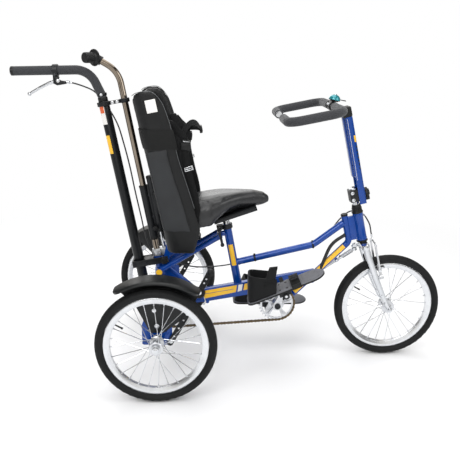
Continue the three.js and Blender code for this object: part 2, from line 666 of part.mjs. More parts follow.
function windows() {
  return Array.from({ length: ringWindow.count }, (_, i) => {
    const middle = (i + 0.5) / ringWindow.count * 2 * Math.PI + crank.lean;
    const [from, to] = [middle - ringWindow.halfAngle, middle + ringWindow.halfAngle];
    return [...arc(0, 0, ringWindow.outer, from, to, ringWindow.steps), ...arc(0, 0, ringWindow.inner, to, from, ringWindow.steps)];
  });
}

function rearAxle() {
  const half = track / 2 + hub.halfWidth + axle.nutLength;
  const seat = track / 2 + hub.halfWidth + gap;
  const nuts = sides.map(({ y }) => rodAcross(0, 0, y * seat, y * half, axle.nutRadius, 6));
  const sprocket = slab(toothedOutline(sprocketTeeth), chainY - tooth.thickness / 2, chainY + tooth.thickness / 2, windows());
  const boss = rodAcross(0, 0, chainY - crank.bossRadius, chainY + crank.bossRadius, crank.bossRadius + overrun * 3);
  return join(rodAcross(0, 0, -half + overrun, half - overrun, axle.radius), sprocket, boss, ...nuts);
}

part('rear_axle', rearAxle(), castMetal).position.set(0, 0, wheelRadius);

// Cranks: the near one carries the chainring, the far one carries the spindle
function crankArm(y0, y1, direction) {
  const endX = direction * crank.length * Math.sin(crank.lean);
  const endZ = direction * crank.length * Math.cos(crank.lean);
  return slab(capsule(0, 0, crank.bossRadius, endX, endZ, crank.endRadius), y0, y1);
}

function pedalPin(side, direction) {
  const x = direction * crank.length * Math.sin(crank.lean);
  const z = direction * crank.length * Math.cos(crank.lean);
  const start = crank.faceY + overrun;
  return rodAcross(x, z, side * start, side * (crank.faceY + crank.thickness + pedal.pinLength), pedal.pinRadius);
}

function nearCrank() {
  const outer = -crank.faceY - crank.thickness;
  const ring = slab(toothedOutline(ringTeeth), chainY - tooth.thickness / 2, chainY + tooth.thickness / 2, windows());
  const boss = rodAcross(0, 0, outer, chainY + tooth.thickness / 2 + weld, crank.bossRadius, roundSides);
  const body = join(ring, boss, crankArm(outer, -crank.faceY, 1), pedalPin(-1, 1));
  return cut(body, boreAcross(0, 0, outer + crank.capDepth, 0, crank.spindleRadius));
}

function farCrank() {
  const outer = crank.faceY + crank.thickness;
  const spindle = rodAcross(0, 0, -outer + crank.capDepth + runningGap, outer, crank.spindleRadius);
  const boss = rodAcross(0, 0, bracket.shellHalf + runningGap, outer, crank.bossRadius, roundSides);
  return join(spindle, boss, crankArm(crank.faceY, outer, -1), pedalPin(1, -1));
}

part('crankset', nearCrank(), castMetal).position.set(bracket.x, 0, bracket.z);
part('far_crank', farCrank(), castMetal).position.set(bracket.x, 0, bracket.z);

// Foot plates with heel cups and toe straps, each in its own pitched frame on the pedal pin
function plateOutline() {
  const toe = pedal.toeReach - pedal.halfWidth;
  const heel = -pedal.heelReach + pedal.halfWidth / 2;
  return [
    ...arc(toe, 0, pedal.halfWidth, -Math.PI / 2, Math.PI / 2, 8),
    ...arc(heel, pedal.halfWidth / 2, pedal.halfWidth / 2, Math.PI / 2, Math.PI, 3),
    ...arc(heel, -pedal.halfWidth / 2, pedal.halfWidth / 2, Math.PI, Math.PI * 3 / 2, 3),
  ];
}

// Raised grip in front of the strap, round like the toe of the plate
function toeGripOutline() {
  const half = pedal.halfWidth - toeGrip.inset;
  const rear = toeStrap.x + toeStrap.width + toeGrip.clearance;
  return [[rear, -half], ...arc(pedal.toeReach - pedal.halfWidth, 0, half, -Math.PI / 2, Math.PI / 2, 8), [rear, half]];
}

function footPlate() {
  const middle = pedal.innerY + pedal.halfWidth;
  const under = pedal.top - pedal.thickness;
  const plate = slice(plateOutline(), under, pedal.top).translate(0, middle, 0);
  const grip = slice(toeGripOutline(), pedal.top - weld, pedal.top + toeGrip.rise).translate(0, middle, 0);
  const housing = rodAcross(0, 0, pedal.innerY, pedal.pinLength - pedal.sleeveInset, pedal.housingRadius);
  const clip = block(
    -pedal.clipLength / 2, pedal.clipLength / 2, middle - pedal.clipHalf, middle + pedal.clipHalf, 0, under + overrun,
  );
  const hole = boreAcross(0, 0, -overrun, pedal.pinLength + overrun, pedal.pinRadius, runningGap);
  return cut(join(plate, grip, housing, clip), hole);
}

function cupOutline(inset, frontX) {
  const half = pedal.halfWidth - heelCup.heelInset - inset;
  const rearX = -pedal.heelReach + heelCup.heelInset + inset;
  const corner = half * 0.6;
  return [
    [frontX, -half], [frontX, half],
    ...arc(rearX + corner, half - corner, corner, Math.PI / 2, Math.PI, heelCup.bendSteps),
    ...arc(rearX + corner, -half + corner, corner, Math.PI, Math.PI * 3 / 2, heelCup.bendSteps),
  ];
}

function heelCupGeometry() {
  const frontX = -pedal.heelReach + heelCup.depth;
  const low = pedal.top + gap;
  const high = low + heelCup.height;
  const reach = pedal.halfWidth;
  const wall = cut(
    slice(cupOutline(0, frontX), low, high),
    slice(cupOutline(heelCup.wall, frontX + overrun), low + heelCup.floor, high + overrun),
    slab([
      [-pedal.heelReach - overrun, high], [frontX + overrun, low + heelCup.frontHeight],
      [frontX + overrun, high + overrun], [-pedal.heelReach - overrun, high + overrun],
    ], -reach, reach),
  );
  const half = pedal.halfWidth - heelCup.heelInset;
  const flap = slab(heelFlapShares.map(([along, up]) => [
    frontX + along * heelCup.depth, low + up * heelCup.frontHeight,
  ]), half - heelCup.wall / 2, half);
  const lean = new THREE.Matrix4().makeShear(0, 0, 0, 0, heelCup.lean, 0);
  return join(wall, flap).translate(0, 0, -low).applyMatrix4(lean)
    .translate(0, pedal.innerY + pedal.halfWidth, low);
}

function toeStrapGeometry() {
  const half = pedal.halfWidth + gap;
  const under = pedal.top - pedal.thickness - gap;
  const over = pedal.top + gap;
  const crown = (width, rise) => Array.from({ length: toeStrap.steps + 1 }, (_, i) => {
    const share = i / toeStrap.steps;
    return [width * Math.cos(share * Math.PI), over + rise * Math.sin(share * Math.PI)];
  });
  const outer = [...crown(half + toeStrap.thickness, toeStrap.arch + toeStrap.thickness),
    [-half - toeStrap.thickness, under - toeStrap.thickness], [half + toeStrap.thickness, under - toeStrap.thickness]];
  const inner = [...crown(half, toeStrap.arch), [-half, under], [half, under]];
  const band = new THREE.ExtrudeGeometry(
    new THREE.Shape(outer.map(([y, z]) => new THREE.Vector2(y, z))), { depth: toeStrap.width, bevelEnabled: false },
  );
  const hollow = new THREE.ExtrudeGeometry(
    new THREE.Shape(inner.map(([y, z]) => new THREE.Vector2(y, z))),
    { depth: toeStrap.width + 2 * overrun, bevelEnabled: false },
  ).translate(0, 0, -overrun);
  const turned = cut(band, hollow).rotateX(Math.PI / 2).rotateZ(Math.PI / 2);
  return turned.translate(toeStrap.x, pedal.innerY + pedal.halfWidth, 0);
}

const footPlateGeometry = footPlate();
const cupGeometry = heelCupGeometry();
const strapGeometry = toeStrapGeometry();
for (const { name, y } of sides) {
  const direction = -y;
  const mount = new THREE.Group();
  mount.position.set(
    bracket.x + direction * crank.length * Math.sin(crank.lean),
    y * (crank.faceY + crank.thickness),
    bracket.z + direction * crank.length * Math.cos(crank.lean),
  );
  mount.rotation.y = y < 0 ? -pedal.nearPitch : 0;
  tricycle.add(mount);
  part(`${name}_footplate`, mirrored(footPlateGeometry, y), greyTread, mount);
  part(`${name}_heel_cup`, mirrored(cupGeometry, y), vinyl, mount);
  part(`${name}_toe_strap`, mirrored(strapGeometry, y), webbing, mount);
}

// Chain: two plate bands held apart by rollers along the straight runs
function chainRuns() {
  const front = { x: bracket.x, z: bracket.z, r: pitchRadius(ringTeeth) };
  const back = { x: 0, z: wheelRadius, r: pitchRadius(sprocketTeeth) };
  const heading = Math.atan2(front.z - back.z, front.x - back.x);
  const spread = Math.acos((back.r - front.r) / Math.hypot(front.x - back.x, front.z - back.z));
  return { front, back, heading, spread };
}

function chainOutline(offset) {
  const { front, back, heading, spread } = chainRuns();
  return [
    ...arc(front.x, front.z, front.r + offset, heading - spread, heading + spread, chain.wrapSteps),
    ...arc(back.x, back.z, back.r + offset, heading + spread, heading + 2 * Math.PI - spread, chain.wrapSteps),
  ];
}

function chainGeometry() {
  const { front, back, heading, spread } = chainRuns();
  const inner = chain.innerWidth / 2;
  const outer = inner + chain.plate;
  const bands = sides.map(({ y }) => {
    const [a, b] = [chainY + y * inner, chainY + y * outer].sort((p, q) => p - q);
    return slab(chainOutline(chain.plateHalfHeight), a, b, [chainOutline(-chain.plateHalfHeight)]);
  });
  const rollers = [];
  for (const turn of [heading + spread, heading - spread]) {
    const start = vec(back.x + back.r * Math.cos(turn), chainY, back.z + back.r * Math.sin(turn));
    const end = vec(front.x + front.r * Math.cos(turn), chainY, front.z + front.r * Math.sin(turn));
    const along = end.clone().sub(start);
    const count = Math.floor(along.length() / chainPitch - 2 * chain.leadIn);
    for (let i = 0; i <= count; i++) {
      const place = start.clone().addScaledVector(along.clone().normalize(), (i + chain.leadIn) * chainPitch);
      rollers.push(rodAcross(
        place.x, place.z, chainY - inner - chain.plate / 2, chainY + inner + chain.plate / 2,
        chain.rollerRadius, chain.rollerSides,
      ));
    }
  }
  return join(...bands, ...rollers);
}

part('chain', chainGeometry(), chainSteel);

// Chain guard with its two bosses against the beam
function guardGeometry() {
  const outline = [
    ...arc(0, 0, guard.lobe, Math.PI / 2, Math.PI * 3 / 2, 8),
    [guard.rearReach, -guard.halfHeight - guard.bossDrop * 2],
    ...arc(guard.length - guard.halfHeight, -guard.halfHeight + guard.bossDrop, guard.halfHeight, -Math.PI / 2, Math.PI / 2, 8),
    [guard.rearReach, guard.bossDrop],
  ];
  const plate = slab(outline, -guard.y - guard.plate / 2, -guard.y + guard.plate / 2);
  plate.rotateY(-beam.slope).translate(guard.pivotX, 0, guard.pivotZ);
  const bosses = [guard.bossRearX, guard.bossFrontX].map((x) => {
    const z = beamZ(guard.pivotX + x) - guard.bossDrop;
    return rodAcross(guard.pivotX + x, z, -guard.y, -beam.width / 2 - gap, guard.bossRadius, thinSides);
  });
  return join(plate, ...bosses);
}

part('chain_guard', guardGeometry(), paint);

// Parking lever on the guard, with a round hub and two holes
function parkingLever() {
  const [endX, endZ] = [parking.length * Math.sin(parking.turn), parking.length * Math.cos(parking.turn)];
  const knobX = endX * 0.95;
  const knobZ = endZ * 0.95;
  const hubDisc = rodAcross(0, 0, -parking.y - parking.hubDepth, -parking.y, parking.hubRadius, roundSides);
  const arm = slab(
    capsule(0, 0, parking.halfWidth, endX, endZ, parking.halfWidth),
    -parking.y - parking.plate, -parking.y,
  );
  const knob = rodAcross(knobX, knobZ, -parking.y - parking.knobLength, -parking.y, parking.knobRadius);
  const holes = [0.42, 0.6].map((share) => rodAcross(
    endX * share, endZ * share, -parking.y - parking.plate - overrun, -parking.y + overrun, parking.holeRadius, thinSides,
  ));
  return cut(join(hubDisc, arm, knob), ...holes);
}

part('parking_lever', parkingLever(), blackPlastic).position.set(guard.pivotX, 0, guard.pivotZ);

// Rear mudguards: a strip over the tyre, a side panel down to the hub plate and a drilled strap
function fenderGeometry() {
  const toAngle = (turn) => Math.PI / 2 - turn;
  const [from, to] = [toAngle(fender.rearAngle), toAngle(fender.frontAngle)];
  const outer = arc(0, wheelRadius, fender.radius, from, to, fender.steps);
  const inner = arc(0, wheelRadius, fender.radius - fender.thickness, to, from, fender.steps);
  const strip = slab([...outer, ...inner], fender.innerY, fender.outerY);
  const panel = slab([
    ...inner,
    [fender.panelRearX, fender.panelRearZ], [-fender.footHalf, fender.footZ], [fender.footHalf, fender.footZ],
    [fender.panelFrontX, fender.panelFrontZ],
  ], fender.innerY, fender.innerY + fender.thickness);
  const strapY = fender.innerY + fender.thickness;
  const strap = slab(
    capsule(fender.strapFootX, fender.strapFootZ, fender.strapHalf, fender.strapTopX, fender.strapTopZ, fender.strapHalf),
    strapY - weld, strapY + fender.thickness,
  );
  const corner = fender.outerY - fender.innerY;
  const rounders = [
    { angle: from, sign: 1 }, { angle: to, sign: -1 },
  ].map(({ angle, sign }) => {
    const turned = angle + sign * 0.09;
    const x = fender.radius * Math.cos(turned);
    const z = wheelRadius + fender.radius * Math.sin(turned);
    return rod(
      vec(x - corner * Math.cos(angle) / 3, fender.outerY, z - corner * Math.sin(angle) / 3),
      vec(x + corner * Math.cos(angle) / 3, fender.outerY, z + corner * Math.sin(angle) / 3), corner / 2, 16,
    );
  });
  const holes = [0.22, 0.48, 0.74].map((share) => rodAcross(
    fender.strapFootX + (fender.strapTopX - fender.strapFootX) * share,
    fender.strapFootZ + (fender.strapTopZ - fender.strapFootZ) * share,
    fender.innerY - overrun, fender.outerY, fender.holeRadius, thinSides,
  ));
  return cut(join(strip, panel, strap), ...rounders, ...holes);
}

const mudguard = fenderGeometry();
for (const { name, y } of sides) {
  part(`${name}_fender`, mirrored(mudguard, y), blackPlastic);
}

// Push bar: steel tube, foam covered handle, lower bracket and the link to the column
function pushHandlePath() {
  const start = leaningPoint(rear, pushBar.offset, 0, pushBar.collarU + gap);
  const straight = leaningPoint(rear, pushBar.offset, 0, pushBar.collarU + pushBar.radius);
  return [start, straight, vec(pushBar.cornerX, 0, pushBar.cornerZ), vec(pushBar.gripEndX, 0, pushBar.gripEndZ)];
}

part('push_tube', rod(
  vec(pushBar.offset, 0, pushBar.footU), vec(pushBar.offset, 0, pushBar.collarU), pushBar.radius,
), blackSteel, rear);
part('push_handle', tube(pushHandlePath(), pushBar.gripRadius, pushBar.bend), foam);

function pushBracketGeometry() {
  const rearF = pushBar.offset - pushBracket.rearReach;
  const top = pushBracket.lowU + pushBracket.height;
  const inner = pushBracket.y;
  const plates = sides.map(({ y }) => {
    const [a, b] = [y * inner, y * (inner + pushBracket.plate)].sort((p, q) => p - q);
    return block(rearF, pushBracket.frontF, a, b, pushBracket.lowU, top);
  });
  const spacer = block(rearF, -column.bearingRadius - gap, -inner - weld, inner + weld, pushBracket.lowU, top);
  const reach = -inner - pushBracket.plate;
  const knob = rod(
    vec(pushBracket.knobF, reach - pushBracket.knobLength, pushBracket.lowU + pushBracket.height / 2),
    vec(pushBracket.knobF, reach + weld, pushBracket.lowU + pushBracket.height / 2), pushBracket.knobRadius,
  );
  const hole = bore(
    vec(pushBar.offset, 0, pushBracket.lowU - overrun), vec(pushBar.offset, 0, top + overrun), pushBar.radius,
  );
  return cut(join(...plates, spacer, knob), hole);
}

part('push_bracket', pushBracketGeometry(), blackSteel, rear);

function columnLinkGeometry() {
  const [low, high] = [columnLink.u - columnLink.height / 2, columnLink.u + columnLink.height / 2];
  const strut = block(pushBar.offset, 0, -columnLink.halfWidth, columnLink.halfWidth, low, high);
  const rings = [
    rod(vec(0, 0, low), vec(0, 0, high), columnLink.ringRadius, roundSides),
    rod(vec(pushBar.offset, 0, low), vec(pushBar.offset, 0, high), pushBar.radius + columnLink.wall, roundSides),
  ];
  return cut(
    join(strut, ...rings),
    bore(vec(0, 0, low - overrun), vec(0, 0, high + overrun), column.radius),
    bore(vec(pushBar.offset, 0, low - overrun), vec(pushBar.offset, 0, high + overrun), pushBar.radius),
  );
}

part('column_link', columnLinkGeometry(), blackSteel, rear);

// Rear steering column, its grip, arm and the drag link to the fork
const columnFootU = (column.footZ - column.z) / Math.cos(rearLean);

function columnPath() {
  const turn = handle.rise - rearLean;
  const back = vec(-Math.cos(turn), 0, Math.sin(turn));
  const corner = vec(0, 0, handle.bendU);
  return [vec(0, 0, columnFootU), corner, corner.clone().addScaledVector(back, handle.reach)];
}

part('steering_handle', tube(columnPath(), column.radius, handle.bend), chrome, rear);

function gripGeometry() {
  const [, corner, end] = columnPath();
  const along = end.clone().sub(corner).normalize();
  const heading = vec(-Math.cos(handleGrip.turn), -Math.sin(handleGrip.turn), 0).applyAxisAngle(vec(0, 1, 0), rearLean);
  const tip = end.clone().addScaledVector(along, gap);
  const body = lathe([
    [0, 0], [handleGrip.flangeRadius, 0], [handleGrip.flangeRadius, handleGrip.flange],
    [handleGrip.radius, handleGrip.flange * 1.5], [handleGrip.radius, handleGrip.length * 0.88],
    [handleGrip.radius * 0.75, handleGrip.length], [0, handleGrip.length],
  ]);
  body.applyQuaternion(new THREE.Quaternion().setFromUnitVectors(vec(0, 1, 0), heading));
  body.translate(tip.x, tip.y, tip.z);
  const neck = rod(
    end.clone().addScaledVector(along, -handleGrip.neckLength), tip.clone().addScaledVector(along, handleGrip.flange),
    handleGrip.neckRadius,
  );
  return cut(join(body, neck), bore(corner, tip, column.radius));
}

part('steering_grip', gripGeometry(), foam, rear);

function armOutline(x, y) {
  return capsule(0, 0, steeringArm.hubRadius, x, y, steeringArm.endRadius);
}

function rearArmGeometry() {
  const low = columnFootU + overrun;
  const body = slice(armOutline(-steeringArm.back, steeringArm.across), low, low + steeringArm.thickness);
  return cut(
    body,
    bore(vec(0, 0, low - overrun), vec(0, 0, low + steeringArm.thickness + overrun), column.radius),
    bore(
      vec(-steeringArm.back, steeringArm.across, low - overrun),
      vec(-steeringArm.back, steeringArm.across, low + steeringArm.thickness + overrun), dragLink.pinRadius,
    ),
  );
}

part('rear_steering_arm', rearArmGeometry(), blackSteel, rear);

const frontArmU = fork.crownTop - fork.crownHeight - steeringArm.thickness;

function dragLinkGeometry() {
  const half = dragLink.eyeHeight / 2;
  const rearEye = leaningPoint(rear, -steeringArm.back, steeringArm.across, columnFootU + overrun - runningGap - half);
  const frontEye = leaningPoint(steering, -steeringArm.back, steeringArm.across, frontArmU - dragLink.frontGap - half);
  const pinTop = half + steeringArm.thickness;
  const rearUp = vec(0, 0, 1).applyEuler(rear.rotation);
  const frontUp = vec(0, 0, 1).applyEuler(steering.rotation);
  const eye = (place, up) => rod(
    place.clone().addScaledVector(up, -half), place.clone().addScaledVector(up, half), dragLink.eyeRadius,
  );
  const rodBody = tube([
    rearEye, vec(dragLink.dipX, steeringArm.across, dragLink.dipZ),
    vec(dragLink.riseX, steeringArm.across, dragLink.riseZ), frontEye,
  ], dragLink.radius, dragLink.radius * 4, thinSides);
  const pin = rod(rearEye, rearEye.clone().addScaledVector(rearUp, pinTop), dragLink.pinRadius, thinSides);
  return join(rodBody, eye(rearEye, rearUp), eye(frontEye, frontUp), pin);
}

part('drag_link', dragLinkGeometry(), castMetal);

// Cast clamp over the column bearing, holding the inner backrest post
function castClampGeometry() {
  const top = castClamp.lowU + castClamp.height;
  const outline = capsule(0, 0, castClamp.halfWidth, backPost.offset, 0, castClamp.frontPad, 8);
  return cut(
    slice(outline, castClamp.lowU, top),
    bore(vec(0, 0, castClamp.lowU - overrun), vec(0, 0, top + overrun), column.radius, runningGap),
    bore(vec(backPost.offset, 0, castClamp.lowU - overrun), vec(backPost.offset, 0, top + overrun), backPost.innerRadius),
  );
}

part('column_clamp', castClampGeometry(), castMetal, rear);
part('backrest_inner_post', rod(
  vec(backPost.offset, 0, backPost.innerFootU), vec(backPost.offset, 0, backPost.innerTopU), backPost.innerRadius,
), chrome, rear);

// Backrest carriage: sleeve over the column and tube over the inner post, with a pad to the shell
function carriageGeometry() {
  const pad = block(
    carriagePad.rearF, -gap, -carriagePad.halfWidth, carriagePad.halfWidth, carriagePad.lowU, carriagePad.topU,
  ).applyMatrix4(leaningMatrix(backFrame)).applyMatrix4(leaningMatrix(rear).clone().invert());
  const body = join(
    rod(vec(0, 0, sleeve.lowU), vec(0, 0, sleeve.topU), sleeve.radius),
    rod(vec(backPost.offset, 0, backPost.lowU), vec(backPost.offset, 0, backPost.topU), backPost.outerRadius),
    block(0, backPost.offset, -postWeb.halfWidth, postWeb.halfWidth, backPost.lowU, sleeve.topU),
    pad,
  );
  return cut(
    body,
    bore(vec(0, 0, sleeve.lowU - overrun), vec(0, 0, sleeve.topU + overrun), column.radius, runningGap),
    bore(
      vec(backPost.offset, 0, backPost.lowU - overrun), vec(backPost.offset, 0, backPost.topU - overrun),
      backPost.innerRadius,
    ),
  );
}

part('backrest_carriage', carriageGeometry(), blackSteel, rear);

// Backrest: a U in plan, trimmed by the wing outline seen from the side
function planU(outset, inset, frontF) {
  const outline = (margin) => {
    const half = backrest.halfWidth - margin;
    const corner = backrest.cornerRadius - margin;
    return [
      ...arc(margin + corner, half - corner, corner, Math.PI / 2, Math.PI, backrest.cornerSteps),
      ...arc(margin + corner, -half + corner, corner, Math.PI, Math.PI * 3 / 2, backrest.cornerSteps),
    ];
  };
  const outer = outline(outset);
  const inner = outline(inset).reverse();
  return [[frontF, backrest.halfWidth - outset], ...outer, [frontF, -backrest.halfWidth + outset],
    [frontF, -backrest.halfWidth + inset], ...inner, [frontF, backrest.halfWidth - inset]];
}

function shared(shares) {
  return shares.map(([f, u]) => [f * backrest.depth, u * backrest.height]);
}

function wingOutline(trim) {
  const middleF = backrest.depth / 2;
  const middleU = backrest.height / 2;
  const scaleF = 1 - trim / middleF;
  const scaleU = 1 - trim / middleU;
  return shared(wingShares).map(([f, u]) => [
    f === 0 ? -overrun : middleF + (f - middleF) * scaleF, middleU + (u - middleU) * scaleU,
  ]);
}

function backrestLayer(outset, inset, trim) {
  const plan = slice(planU(outset, inset, backrest.depth * 1.5), -backrest.height / 2, backrest.height * 1.5);
  const reach = backrest.halfWidth + overrun;
  return common(plan, slab(wingOutline(trim), -reach, reach));
}

part('backrest_shell', backrestLayer(0, backrest.shell, 0), vinyl, backFrame);
part('backrest_pad', backrestLayer(
  backrest.shell + gap, backrest.shell + backrest.padThickness, backrest.padInset,
), vinyl, backFrame);

// The strap lies level round the leaning shell
function backStrapGeometry() {
  const plan = slice(
    planU(-gap - backStrap.thickness, -gap, backrest.depth * backStrap.frontShare),
    backrest.height * backStrap.lowShare, backrest.height * backStrap.highShare,
  );
  const reach = backrest.halfWidth * 2;
  const level = block(-reach, reach, -reach, reach, backStrap.lowZ - backrest.z, backStrap.highZ - backrest.z);
  return common(plan, level.rotateY(backrest.lean));
}

part('backrest_strap', backStrapGeometry(), webbing, backFrame);

// Chest harness: a band that bows forward, and a strap along the inner face of each wing
function harnessGeometry() {
  const outer = backrest.halfWidth - backrest.shell - backrest.padThickness - gap;
  const inner = outer - harness.width;
  const low = backrest.height * harness.bandLowShare;
  const bow = (offset) => Array.from({ length: harness.steps + 1 }, (_, i) => {
    const angle = -Math.PI / 2 + Math.PI * i / harness.steps;
    const reach = harness.bulgeF - harness.bandF + offset;
    return [harness.bandF + reach * Math.cos(angle), (inner + harness.width / 2 + offset) * Math.sin(angle)];
  });
  const band = slice([...bow(harness.thickness / 2), ...bow(-harness.thickness / 2).reverse()], low, low + harness.bandHeight);
  const front = shared(harnessShares);
  const outline = [...front, [harness.rearF, front[front.length - 1][1]], [harness.rearF, front[0][1]]];
  const straps = sides.map(({ y }) => {
    const [a, b] = [y * inner, y * outer].sort((p, q) => p - q);
    return slab(outline, a, b);
  });
  return join(band, ...straps);
}

part('harness', harnessGeometry(), webbing, backFrame);

// Saddle, plate and post in the leaning frame of the seat tube
const saddleShares = [
  { alongShare: 0, widthShare: 0.6, topShare: 0.75, skirtShare: 0.2, bellyShare: 0.22 },
  { alongShare: 0.06, widthShare: 0.85, topShare: 0.81, skirtShare: 0.04, bellyShare: 0.16 },
  { alongShare: 0.15, widthShare: 1, topShare: 0.86, skirtShare: 0, bellyShare: 0.12 },
  { alongShare: 0.3, widthShare: 0.97, topShare: 0.93, skirtShare: 0.08, bellyShare: 0.13 },
  { alongShare: 0.42, widthShare: 0.82, topShare: 0.97, skirtShare: 0.36, bellyShare: 0.2 },
  { alongShare: 0.52, widthShare: 0.64, topShare: 0.985, skirtShare: 0.54, bellyShare: 0.28 },
  { alongShare: 0.64, widthShare: 0.46, topShare: 1, skirtShare: 0.62, bellyShare: 0.4 },
  { alongShare: 0.8, widthShare: 0.32, topShare: 1, skirtShare: 0.6, bellyShare: 0.53 },
  { alongShare: 0.93, widthShare: 0.25, topShare: 0.94, skirtShare: 0.6, bellyShare: 0.56 },
  { alongShare: 1, widthShare: 0.12, topShare: 0.82, skirtShare: 0.66, bellyShare: 0.66 },
];
const saddleRimShares = [[0, 1], [0.42, 0.99], [0.78, 0.9], [0.96, 0.66], [1, 0.36], [0.95, 0.1], [0.8, 0]];

function saddleGeometry() {
  const lowZ = saddle.topZ - saddle.depth;
  const rings = saddleShares.map(({ alongShare, widthShare, topShare, skirtShare, bellyShare }) => {
    const x = saddle.rearX + saddle.length * alongShare;
    const skirt = lowZ + saddle.depth * skirtShare;
    const top = lowZ + saddle.depth * topShare;
    const half = saddleRimShares.map(([across, up]) => vec(x, across * saddle.halfWidth * widthShare, skirt + (top - skirt) * up));
    const belly = vec(x, 0, lowZ + saddle.depth * bellyShare);
    return [...half, belly, ...half.slice(1).reverse().map((p) => vec(x, -p.y, p.z))];
  });
  return loft(rings);
}

const seatTop = seatTubePoint(seatTube.length);

// The plate under the saddle rises toward the nose
function seatPlate(margin) {
  const { rearX, frontX, rearZ, frontZ, plateThickness, plateHalf } = seatPost;
  return slab([
    [rearX - margin, rearZ - margin], [frontX + margin, frontZ - margin],
    [frontX + margin, frontZ + plateThickness + margin], [rearX - margin, rearZ + plateThickness + margin],
  ], -plateHalf - margin, plateHalf + margin);
}

function seatPostGeometry() {
  const foot = seatTubePoint(seatTube.length - seatTube.boreDepth + seatPost.inset);
  const slope = (seatPost.frontZ - seatPost.rearZ) / (seatPost.frontX - seatPost.rearX);
  const top = seatTubePoint(seatTube.length + seatPost.plateThickness);
  const plateZ = seatPost.rearZ + (top.x - seatPost.rearX) * slope;
  const along = (plateZ + seatPost.plateThickness / 2 - seatTube.footZ) / Math.cos(seatTube.lean);
  return join(rod(foot, seatTubePoint(along), seatPost.radius), seatPlate(0));
}

part('saddle', cut(saddleGeometry(), seatPlate(gap)), vinyl);
part('seat_post', seatPostGeometry(), blackSteel);

// Seat clamp collar and its quick release lever
const seatFrame = new THREE.Group();
seatFrame.position.copy(seatTop);
seatFrame.rotation.y = -seatTube.lean;
tricycle.add(seatFrame);

function collarGeometry() {
  const ring = rod(vec(0, 0, -seatCollar.height), vec(0, 0, 0), seatCollar.outerRadius, roundSides);
  const ear = block(-seatCollar.outerRadius - seatCollar.earLength, 0, -seatCollar.earHalf, seatCollar.earHalf, -seatCollar.height, 0);
  return cut(join(ring, ear), bore(vec(0, 0, -seatCollar.height - overrun), vec(0, 0, overrun), seatTube.radius));
}

part('seat_clamp', collarGeometry(), blackSteel, seatFrame);

function clampLeverGeometry() {
  const x = -seatCollar.outerRadius - seatCollar.earLength / 2;
  const face = -seatCollar.earHalf - gap;
  const half = seatCollar.leverWidth / 2;
  const outline = capsule(x, -seatCollar.height / 2, half, x, -seatCollar.leverLength, half);
  const outer = -seatCollar.leverY - seatCollar.leverThick;
  const cam = rodAcross(x, -seatCollar.height / 2, outer + weld, face, seatCollar.camRadius);
  return join(slab(outline, outer, -seatCollar.leverY), cam);
}

part('seat_clamp_lever', clampLeverGeometry(), blackSteel, seatFrame);

// Fork, headset covers, front brake
function bladeGeometry(side) {
  const rings = forkBladeShares.dropShare.map((share, i) => {
    const radius = fork.bladeFoot + (fork.bladeTop - fork.bladeFoot) * forkBladeShares.widthShare[i];
    const [f, u] = [fork.rake * forkBladeShares.rakeShare[i], -fork.drop * share];
    return arc(0, 0, radius, 0, 2 * Math.PI, tubeSides).slice(0, tubeSides)
      .map(([x, y]) => vec(f + x, side * fork.spread + y, u));
  });
  return loft(rings);
}

function forkGeometry() {
  const crown = slice(
    capsule(0, -fork.crownHalf + fork.crownDepth, fork.crownDepth, 0, fork.crownHalf - fork.crownDepth, fork.crownDepth),
    fork.crownTop - fork.crownHeight, fork.crownTop,
  );
  const steerer = rod(vec(0, 0, fork.crownTop - fork.crownHeight / 2), vec(0, 0, fork.steererTop), fork.steererRadius);
  const pieces = [crown, steerer];
  for (const { y } of sides) {
    pieces.push(bladeGeometry(y));
    const inner = y * (fork.spread - fork.tabThickness);
    const outer = y * (fork.spread + fork.tabThickness);
    pieces.push(rodAcross(fork.rake, -fork.drop, inner, outer, fork.bladeFoot + overrun, tubeSides));
    pieces.push(rodAcross(
      fork.rake, -fork.drop, outer - y * weld, outer + y * fork.nutLength, fork.nutRadius, 6,
    ));
    const bladeF = fork.rake * forkBladeShares.rakeShare[1];
    pieces.push(rod(
      vec(bladeF, y * brakeArm.pivotY, brakeArm.pivotU),
      vec(brakeArm.f - brakeArm.width / 2 - gap, y * brakeArm.pivotY, brakeArm.pivotU), brakeArm.bossRadius, thinSides,
    ));
  }
  pieces.push(rodAcross(fork.rake, -fork.drop, -fork.spread, fork.spread, fork.axleRadius));
  const reach = [-steeringArm.back, steeringArm.across];
  pieces.push(slice(capsule(0, steeringArm.across, steeringArm.endRadius, ...reach, steeringArm.endRadius),
    frontArmU, frontArmU + steeringArm.thickness + overrun));
  return join(...pieces);
}

part('fork', forkGeometry(), chrome, steering);

function headCoverGeometry() {
  const low = head.length / 2 + gap;
  const inner = fork.steererRadius + gap;
  return lathe([
    [inner, low], [headCover.footRadius, low], [headCover.footRadius, low + headCover.brim],
    [headCover.neckRadius + overrun, low + headCover.height - headCover.brim],
    [headCover.neckRadius + overrun / 2, low + headCover.height], [inner, low + headCover.height], [inner, low],
  ]).rotateX(Math.PI / 2);
}

function lowerCupGeometry() {
  const top = -head.length / 2 - gap;
  const inner = fork.steererRadius + gap;
  return lathe([
    [inner, top - lowerCup.height], [lowerCup.radius, top - lowerCup.height], [lowerCup.radius, top], [inner, top],
    [inner, top - lowerCup.height],
  ]).rotateX(Math.PI / 2);
}

part('headset_top_cover', headCoverGeometry(), blackPlastic, steering);
part('headset_lower_cup', lowerCupGeometry(), blackPlastic, steering);

